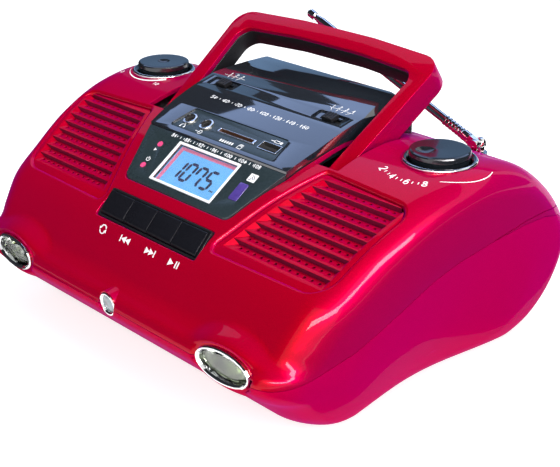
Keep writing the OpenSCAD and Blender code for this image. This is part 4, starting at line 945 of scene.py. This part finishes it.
# ---------- CAD nodes with rounded edges ----------
def eased(node, material, width, angle=30, segments=3, smooth=40):
    """Copy of a CAD node with its sharp edges eased, standing for that node."""
    source = NODES[node]
    mesh = source.data.copy()
    obj = bpy.data.objects.new(node + "_form", mesh)
    link(obj)
    work = bmesh.new()
    work.from_mesh(mesh)
    bmesh.ops.remove_doubles(work, verts=work.verts, dist=0.000002)
    bmesh.ops.dissolve_limit(work, angle_limit=math.radians(1), verts=work.verts, edges=work.edges)
    work.to_mesh(mesh)
    work.free()
    if mesh.has_custom_normals:
        mesh.attributes.remove(mesh.attributes["custom_normal"])
    step = obj.modifiers.new("ease", "BEVEL")
    step.width = width * MM
    step.segments = segments
    step.limit_method = "ANGLE"
    step.angle_limit = math.radians(angle)
    step.use_clamp_overlap = True
    step.harden_normals = False
    evaluate(obj)
    soften(obj, smooth)
    return finish_piece(obj, BODY_OF[node], material, node)


def two_tone(obj, material, inside):
    """Second material on the faces whose centre, in millimetres, passes a test."""
    obj.data.materials.append(material)
    for face in obj.data.polygons:
        if inside(face.center / MM):
            face.material_index = 1
    return obj


def lathe(name, profile, matrix, n=48):
    """Closed ring turned from a profile of (radius, height) round the matrix's z."""
    rings = [[matrix @ Vector((r * math.cos(a), r * math.sin(a), z))
              for a in (2 * math.pi * k / n for k in range(n))] for r, z in profile]
    obj = rings_object(name, rings + rings[:1], False)
    work = bmesh.new()
    work.from_mesh(obj.data)
    bmesh.ops.remove_doubles(work, verts=work.verts, dist=0.0000005)
    work.to_mesh(obj.data)
    work.free()
    return soften(outward(obj), 30)


def build_jacks(materials):
    """Bright collar round a dark bore for each of the two sockets."""
    profile = [(1.8, -13), (3, -13), (3, -0.6), (4, -0.6), (4, 0), (3.8, 0.22), (3.1, 0.3), (2.8, 0.1),
               (2.7, -0.6), (2.3, -0.8), (1.8, -0.8)]
    for node, x in (("phones_jack", PHONES_X), ("aux_jack", LINE_X)):
        jack = lathe(node + "_collar", profile, ON_STRIP @ Matrix.Translation((x, 0, 0)))
        finish_piece(jack, "root", materials["bright_metal"], node)
        axis = ON_STRIP @ Vector((x, 0, 0))
        flat = ON_STRIP.to_3x3() @ Vector((0, 0, 1))
        two_tone(jack, materials["paper_black"],
                 lambda c: (c - axis - (c - axis).dot(flat) * flat).length < 2.76)


def build_trims(materials):
    """Knob rings: a bright outer lip and a dark inner wall."""
    for name, (x, y, r) in KNOBS.items():
        trim = eased(name + "_trim", materials["chrome"], 0.15)
        two_tone(trim, materials["knob_black"], lambda c: math.hypot(c.x - x, c.y - y) < r - 1.1)


def build_grilles(materials):
    """Grille louvres whose risers and pockets get a darker red as painted shade, on faces that look forward or
    down.
    """
    for node in ("left_grille", "right_grille"):
        grille = eased(node, materials["grille_red"], 0.12, 30, 2)
        grille.data.materials.append(materials["groove_red"])
        # Painted shade: faces that look forward or down take the darker red.
        for face in grille.data.polygons:
            if face.normal.y < -0.86 or face.normal.z < -0.3:
                face.material_index = 1


def build_sockets(materials):
    """Card and plug sockets with bright edges and a dark inside."""
    depth = ON_STRIP.inverted()
    for node, width, dark in (("card_socket", 0.1, "card_brown"), ("usb_socket", 0.08, "paper_black")):
        socket = eased(node, materials["bright_metal"], width)
        two_tone(socket, materials[dark], lambda c: (depth @ c).z < -0.75)


def build_aerial_rings(materials):
    """Fine ribs round the foot of the outer aerial tube."""
    joints = {j["name"]: j for j in frame["record"]["behaviour"]["joints"]}
    foot = Vector(joints["aerial_elbow"]["pos_m"]) / MM
    along = Vector(joints["aerial_pull_1"]["axis"]).normalized()
    matrix = Matrix.Translation(foot) @ along.to_track_quat("Z", "Y").to_matrix().to_4x4()
    r = 2.3
    profile = [(r - 0.2, 9.6)]
    for k in range(6):
        z = 9.6 + 2.2 * k
        profile += [(r + 0.05, z), (r + 0.4, z + 0.3), (r + 0.4, z + 1.3), (r + 0.05, z + 1.6)]
    profile.append((r - 0.2, 9.6 + 2.2 * 5 + 1.6))
    ribs = lathe("aerial_ribs", profile, matrix, 32)
    finish_piece(ribs, BODY_OF["aerial_tube_1"], materials["chrome"])


EASED = {
    "handle_frame": 1.3, "handle_lining": 0.5, "bridge_cover": 0.5, "display_panel": 0.35, "lcd_bezel": 0.25,
    "jack_strip": 0.2, "key_frame": 0.25, "key_1": 0.35, "key_2": 0.35, "key_3": 0.35, "key_4": 0.35,
    "function_switch": 0.2, "band_switch": 0.2, "ir_window": 0.25, "battery_door": 0.3, "ac_inlet": 0.3,
    "aerial_base": 0.2, "aerial_socket": 0.3, "feet": 0.3,
}


def dress_nodes(materials):
    """Finish of every CAD node that is still shown."""
    slots = {s["node"]: s["material_slot"] for s in frame["record"]["subparts"]}
    for node, obj in NODES.items():
        material = materials[slots[node]]
        if node in EASED:
            eased(node, material, EASED[node])
        elif not obj.hide_render:
            obj.data.materials.clear()
            obj.data.materials.append(material)


# ---------- Printed marks ----------
def arc(x, y, r, start, end, n=10):
    """Points of an arc between two angles in degrees."""
    angles = [math.radians(start + (end - start) * k / n) for k in range(n + 1)]
    return [(x + r * math.cos(a), y + r * math.sin(a)) for a in angles]


NUMERALS = {
    "0": [(0.5, 0), (0.9, 0.2), (1, 0.8), (0.9, 1.4), (0.5, 1.6), (0.1, 1.4), (0, 0.8), (0.1, 0.2), (0.5, 0)],
    "1": [(0.2, 1.25), (0.6, 1.6), (0.6, 0)],
    "2": [(0.05, 1.25), (0.3, 1.6), (0.75, 1.6), (1, 1.3), (0.95, 1), (0, 0), (1, 0)],
    "3": [(0.05, 1.4), (0.35, 1.6), (0.8, 1.5), (0.9, 1.15), (0.45, 0.85), (0.95, 0.55), (0.85, 0.1),
          (0.35, 0), (0, 0.25)],
    "4": [(0.75, 0), (0.75, 1.6), (0, 0.5), (1, 0.5)],
    "5": [(0.95, 1.6), (0.15, 1.6), (0.1, 0.9), (0.6, 1), (1, 0.7), (0.95, 0.2), (0.5, 0), (0, 0.15)],
    "6": [(0.85, 1.5), (0.4, 1.4), (0.05, 0.8), (0.1, 0.2), (0.5, 0), (0.95, 0.25), (0.9, 0.75), (0.5, 0.95),
          (0.1, 0.65)],
    "7": [(0, 1.6), (1, 1.6), (0.35, 0)],
    "8": [(0.5, 0.85), (0.1, 1.15), (0.2, 1.5), (0.5, 1.6), (0.8, 1.5), (0.9, 1.15), (0.5, 0.85),
          (0.02, 0.5), (0.1, 0.1), (0.5, 0), (0.9, 0.1), (0.98, 0.5), (0.5, 0.85)],
    "9": [(0.15, 0.1), (0.6, 0.2), (0.95, 0.8), (0.9, 1.4), (0.5, 1.6), (0.05, 1.35), (0.1, 0.85), (0.5, 0.65),
          (0.9, 0.95)],
}
BARS = {"0": "abcdef", "1": "bc", "5": "afgcd", "7": "abcf"}
BAR_ENDS = {"a": ((0, 2), (1, 2)), "b": ((1, 2), (1, 1)), "c": ((1, 1), (1, 0)), "d": ((1, 0), (0, 0)),
            "e": ((0, 0), (0, 1)), "f": ((0, 1), (0, 2)), "g": ((0, 1), (1, 1))}


class Marks:
    """Thin printed shapes, drawn in a plane in millimetres and laid on the surface under it."""

    def __init__(self, name, matrix, tree, reach=30, lift=0.06):
        self.name, self.matrix, self.tree = name, matrix, tree
        self.reach, self.lift = reach, lift
        self.points, self.faces = [], []

    def lay(self, p):
        start = self.matrix @ Vector((p[0], p[1], self.reach))
        down = -(self.matrix.to_3x3() @ Vector((0, 0, 1)))
        hit, normal, _, _ = self.tree.ray_cast(start * MM, down)
        if hit is None:
            raise ValueError(f"{self.name}: no surface under {tuple(p)}")
        self.points += [hit / MM + normal * self.lift, hit / MM - normal * 0.05]

    def fill(self, outline):
        """Filled outline."""
        base, n = len(self.points), len(outline)
        for p in outline:
            self.lay(p)
        self.faces.append([base + 2 * i for i in range(n)])
        self.faces.append([base + 2 * i + 1 for i in range(n - 1, -1, -1)])
        for i in range(n):
            here, after = base + 2 * i, base + 2 * ((i + 1) % n)
            self.faces.append((here, here + 1, after + 1, after))

    def block(self, x, y, w, h):
        """Filled rectangle round a place."""
        x0, x1, y0, y1 = x - w / 2, x + w / 2, y - h / 2, y + h / 2
        self.fill([(x0, y0), (x1, y0), (x1, y1), (x0, y1)])

    def arrow(self, x, y, size, way=1):
        """Play arrow that points along way."""
        back, tip, half = x - way * size / 2, x + way * size / 2, size / 2
        self.fill([(back, y - half), (tip, y), (back, y + half)])

    def stroke(self, points, width):
        """Line of even width, one small filled cell for each stretch."""
        path = [Vector(p) for p in points]
        fine = []
        for a, b in zip(path, path[1:]):
            n = max(1, math.ceil((b - a).length / 1.5))
            fine += [a + (b - a) * k / n for k in range(n)]
        fine.append(path[-1])
        closed = (path[0] - path[-1]).length < 1e-6
        base, last = len(self.points), len(fine) - 1
        for i, p in enumerate(fine):
            before = fine[i - 1] if i else (fine[-2] if closed else p)
            after = fine[i + 1] if i < last else (fine[1] if closed else p)
            along = (after - before).normalized()
            side = Vector((-along.y, along.x)) * width / 2
            self.lay(p + side)
            self.lay(p - side)
        for k in range(last):
            i, j = base + 4 * k, base + 4 * k + 4
            self.faces += [(i, i + 2, j + 2, j), (i + 1, j + 1, j + 3, i + 3),
                           (i, j, j + 1, i + 1), (i + 2, i + 3, j + 3, j + 2)]
        end = base + 4 * last
        self.faces += [(base, base + 1, base + 3, base + 2), (end, end + 2, end + 3, end + 1)]

    def number(self, text, x, y, height, width=0.35, turn=0.0):
        """Plain number centred at a place."""
        size = height / 1.6
        start = -(len(text) - 1) * 0.75 * size
        for k, digit in enumerate(text):
            line = [Vector(((p[0] - 0.5) * size + start + 1.5 * size * k, p[1] * size - height / 2))
                    for p in NUMERALS[digit]]
            line = [Matrix.Rotation(turn, 2) @ p + Vector((x, y)) for p in line]
            self.stroke(line, width)

    def bars(self, text, x, y, height, width):
        """Display digits made of seven bars with a slight slant."""
        unit, pitch = height / 2, height * 0.72
        for k, digit in enumerate(text):
            for bar in BARS[digit]:
                p, q = (Vector((a * unit * 0.95 + 0.11 * b * unit + pitch * k + x, b * unit + y))
                        for a, b in BAR_ENDS[bar])
                along = (q - p).normalized()
                side = Vector((-along.y, along.x)) * width / 2
                p, q = p + along * width * 0.12, q - along * width * 0.12
                tip = along * width / 2
                self.fill([p, p + tip + side, q - tip + side, q, q - tip - side, p + tip - side])

    def finish(self, material):
        obj = outward(mesh_object(self.name, self.points, self.faces))
        finish_piece(obj, "root", material)
        return obj


def node_tree(node):
    mesh = NODES[node].data
    points = [v.co.copy() for v in mesh.vertices]
    return BVHTree.FromPolygons(points, [list(p.vertices) for p in mesh.polygons])


def mark_keys(skin, material):
    """Symbols under the four keys: repeat, back, forward and play or pause."""
    marks = Marks("key_symbols", ON_KEYS, skin.tree)
    x1, x2, x3, x4 = [(k - 1.5) * 18.5 for k in range(4)]
    y = -13.6
    for turn in (0, 180):
        loop = arc(x1, y, 2.2, 20 + turn, 150 + turn)
        marks.stroke(loop, 0.6)
        x, z = loop[-1]
        way = 1 if turn == 0 else -1
        marks.fill([(x - 1.1 * way, z - 0.2), (x + 1.1 * way, z + 0.1), (x - 0.5 * way, z - 1.6 * way)])
    for x, way in ((x2, -1), (x3, 1)):
        marks.arrow(x - way * 1.4, y, 3.4, way)
        marks.arrow(x + way * 1.7, y, 3.4, way)
        marks.block(x + way * 3.9, y, 0.7, 3.4)
    marks.arrow(x4 - 2, y, 3.6)
    marks.block(x4 + 1.4, y, 0.8, 3.4)
    marks.block(x4 + 3, y, 0.8, 3.4)
    marks.finish(material)


def mark_display(material, ink):
    """Frequency scale over the window, symbols at the lights and a signal sign."""
    marks = Marks("display_scale", ON_DISPLAY, node_tree("display_panel"))
    for k in range(25):
        x = -30 + 2.6 * k
        if k % 4 == 0:
            marks.number(str(84 + k), x, 14.75, 1.9, 0.38)
        else:
            marks.block(x, 14.75, 0.35, 1 if k % 2 else 1.5)
    marks.arrow(-34, 3.4, 1.9)
    marks.stroke(arc(-33.5, -3, 1.2, -230, 50), 0.4)
    marks.block(-33.5, -2.2, 0.4, 1.5)
    marks.fill([(p.x + 35.2, p.y + 8.2) for p in box_outline(5.2, 4.6, 0.4)])
    marks.finish(material)
    sign = Marks("signal_sign", ON_DISPLAY, node_tree("display_panel"), 30, 0.1)
    for r in (0.9, 1.8, 2.7):
        sign.stroke(arc(34.0, 6.9, r, 10, 80, 6), 0.35)
    sign.block(33.9, 6.8, 0.7, 0.7)
    sign.finish(ink)


def mark_window(ink, rose):
    """Dark bars of the reading, and rose strips along the top and left of the window where the recess's inner
    wall shows: a painted reflection.
    """
    digits = Marks("window_digits", ON_DISPLAY, node_tree("lcd_module"), 30, 0.12)
    digits.bars("107", -15.6, -6.2, 10.6, 1.6)
    digits.bars("5", 7.6, -6.2, 10.6, 1.6)
    digits.block(5.4, -5.8, 1.3, 1.3)
    for k in range(3):
        digits.block(15.6 + 0.9 * k, -5.8, 0.5, 0.9)
    digits.finish(ink)
    # Painted reflection: rose strips stand for the window recess's inner wall.
    wall_reflection_marks = Marks("window_wall_reflection", ON_DISPLAY, node_tree("lcd_module"), 30, 0.08)
    wall_reflection_marks.block(0.1, 10.4, 42.6, 1.8)
    wall_reflection_marks.block(-20, -0.9, 2.4, 20.6)
    wall_reflection_marks.finish(rose)


def mark_strip(material):
    """Symbols at the sockets: headphones, line in, card and plug."""
    marks = Marks("socket_symbols", ON_STRIP, node_tree("jack_strip"))
    y = -5.9
    marks.stroke(arc(PHONES_X, y, 1.5, 0, 180, 8), 0.35)
    for side in (-1, 1):
        marks.block(PHONES_X + side * 1.5, y - 0.3, 0.8, 1.2)
    marks.stroke(arc(LINE_X + 0.9, y, 1.3, -140, 140, 10), 0.35)
    marks.stroke([(LINE_X - 2.4, y), (LINE_X + 0.6, y)], 0.35)
    marks.arrow(LINE_X + 0.7, y, 1.1)
    card = [(CARD_X + 7.2, y - 1.5), (CARD_X + 10, y - 1.5), (CARD_X + 10, y + 1.5), (CARD_X + 8, y + 1.5),
            (CARD_X + 7.2, y + 0.7), (CARD_X + 7.2, y - 1.5)]
    marks.stroke(card, 0.35)
    for k in range(3):
        marks.block(CARD_X + 8 + 0.65 * k, y + 0.6, 0.3, 0.9)
    for k in range(6):
        marks.block(CARD_X - 5.5 + 1.7 * k, y - 0.2, 0.95, 1.6)
    plug = [(USB_X - 1, 5.6), (USB_X + 2.2, 5.6), (USB_X + 2.2, 4.2), (USB_X - 1, 4.2), (USB_X - 1, 5.6)]
    marks.stroke(plug, 0.3)
    marks.block(USB_X - 2.4, 4.9, 2.4, 0.4)
    marks.block(USB_X + 3.4, 4.9, 1.3, 1.6)
    marks.finish(material)


def mark_bridge(material):
    """Second scale across the bridge and positions of the two slide switches."""
    tree = node_tree("bridge_cover")
    marks = Marks("bridge_scale", Matrix(), tree, 200)
    for k, text in enumerate(("54", "60", "70", "80", "100", "120", "140", "160")):
        x = -33.5 + 9.6 * k
        marks.number(text, x, -8.3, 2.2, 0.36)
        if k < 7:
            for j in range(1, 4):
                marks.block(x + 2.4 * j, -8.3, 0.28, 1)
    for side, positions in ((-1, 3), (1, 4)):
        x = side * SWITCH_X
        for k in range(positions):
            at_x = x + (k - (positions - 1) / 2) * 4.4
            marks.number(str(k + 1), at_x, SWITCH_Y + 9.6, 2.1, 0.36)
            marks.stroke([(at_x, SWITCH_Y + 7.8), (x + (at_x - x) * 0.75, SWITCH_Y + 5.6)], 0.28)
        marks.stroke([(x - 8, SWITCH_Y + 7.9), (x + 8, SWITCH_Y + 7.9)], 0.2)
    marks.finish(material)


def mark_knobs(skin, material):
    """Ticks round the knobs, a growing wedge at the volume and numbers at the tuning."""
    marks = Marks("knob_scales", Matrix(), skin.tree, 200)
    x, y, r = KNOBS["volume"]
    wedge = arc(x, y, r + 1.4, 215, 325, 20)
    outer = [(x + (p[0] - x) * (1 + 0.006 + 0.0045 * k), y + (p[1] - y) * (1 + 0.006 + 0.0045 * k))
             for k, p in enumerate(wedge)]
    for k in range(20):
        marks.fill([wedge[k], wedge[k + 1], outer[k + 1], outer[k]])
    marks.number("0", x - r * 0.92, y - r * 0.98, 2.4, 0.42)
    marks.number("10", x + r * 0.9, y - r * 1.05, 2.4, 0.42)
    x, y, r = KNOBS["tuning"]
    marks.stroke(arc(x, y, r + 7.2, -50, 24, 24), 0.36)
    for k in range(10):
        a = math.radians(240 + 6.2 * k)
        u = Vector((math.cos(a), math.sin(a)))
        p = Vector((x, y)) + u * (r + 9.4)
        if k % 3 == 0:
            marks.number(str(2 + k // 3 * 2), p.x, p.y, 3.6, 0.62, a + math.pi / 2)
        else:
            marks.stroke([p - u * 0.8, p + u * 0.8], 0.45)
    marks.finish(material)


def print_marks(skin, materials):
    white = materials["white_print"]
    mark_keys(skin, white)
    mark_display(white, materials["ink"])
    mark_window(materials["ink"], materials["rose_frame"])
    mark_strip(white)
    mark_bridge(white)
    mark_knobs(skin, white)


# ---------- Scene ----------
make_camera()
make_stage()
materials = make_materials()
skin = build_shells(materials)
build_jacks(materials)
build_trims(materials)
build_sockets(materials)
build_grilles(materials)
build_aerial_rings(materials)
dress_nodes(materials)
print_marks(skin, materials)

scene = bpy.context.scene
scene.view_settings.view_transform = "Standard"
bpy.context.view_layer.update()
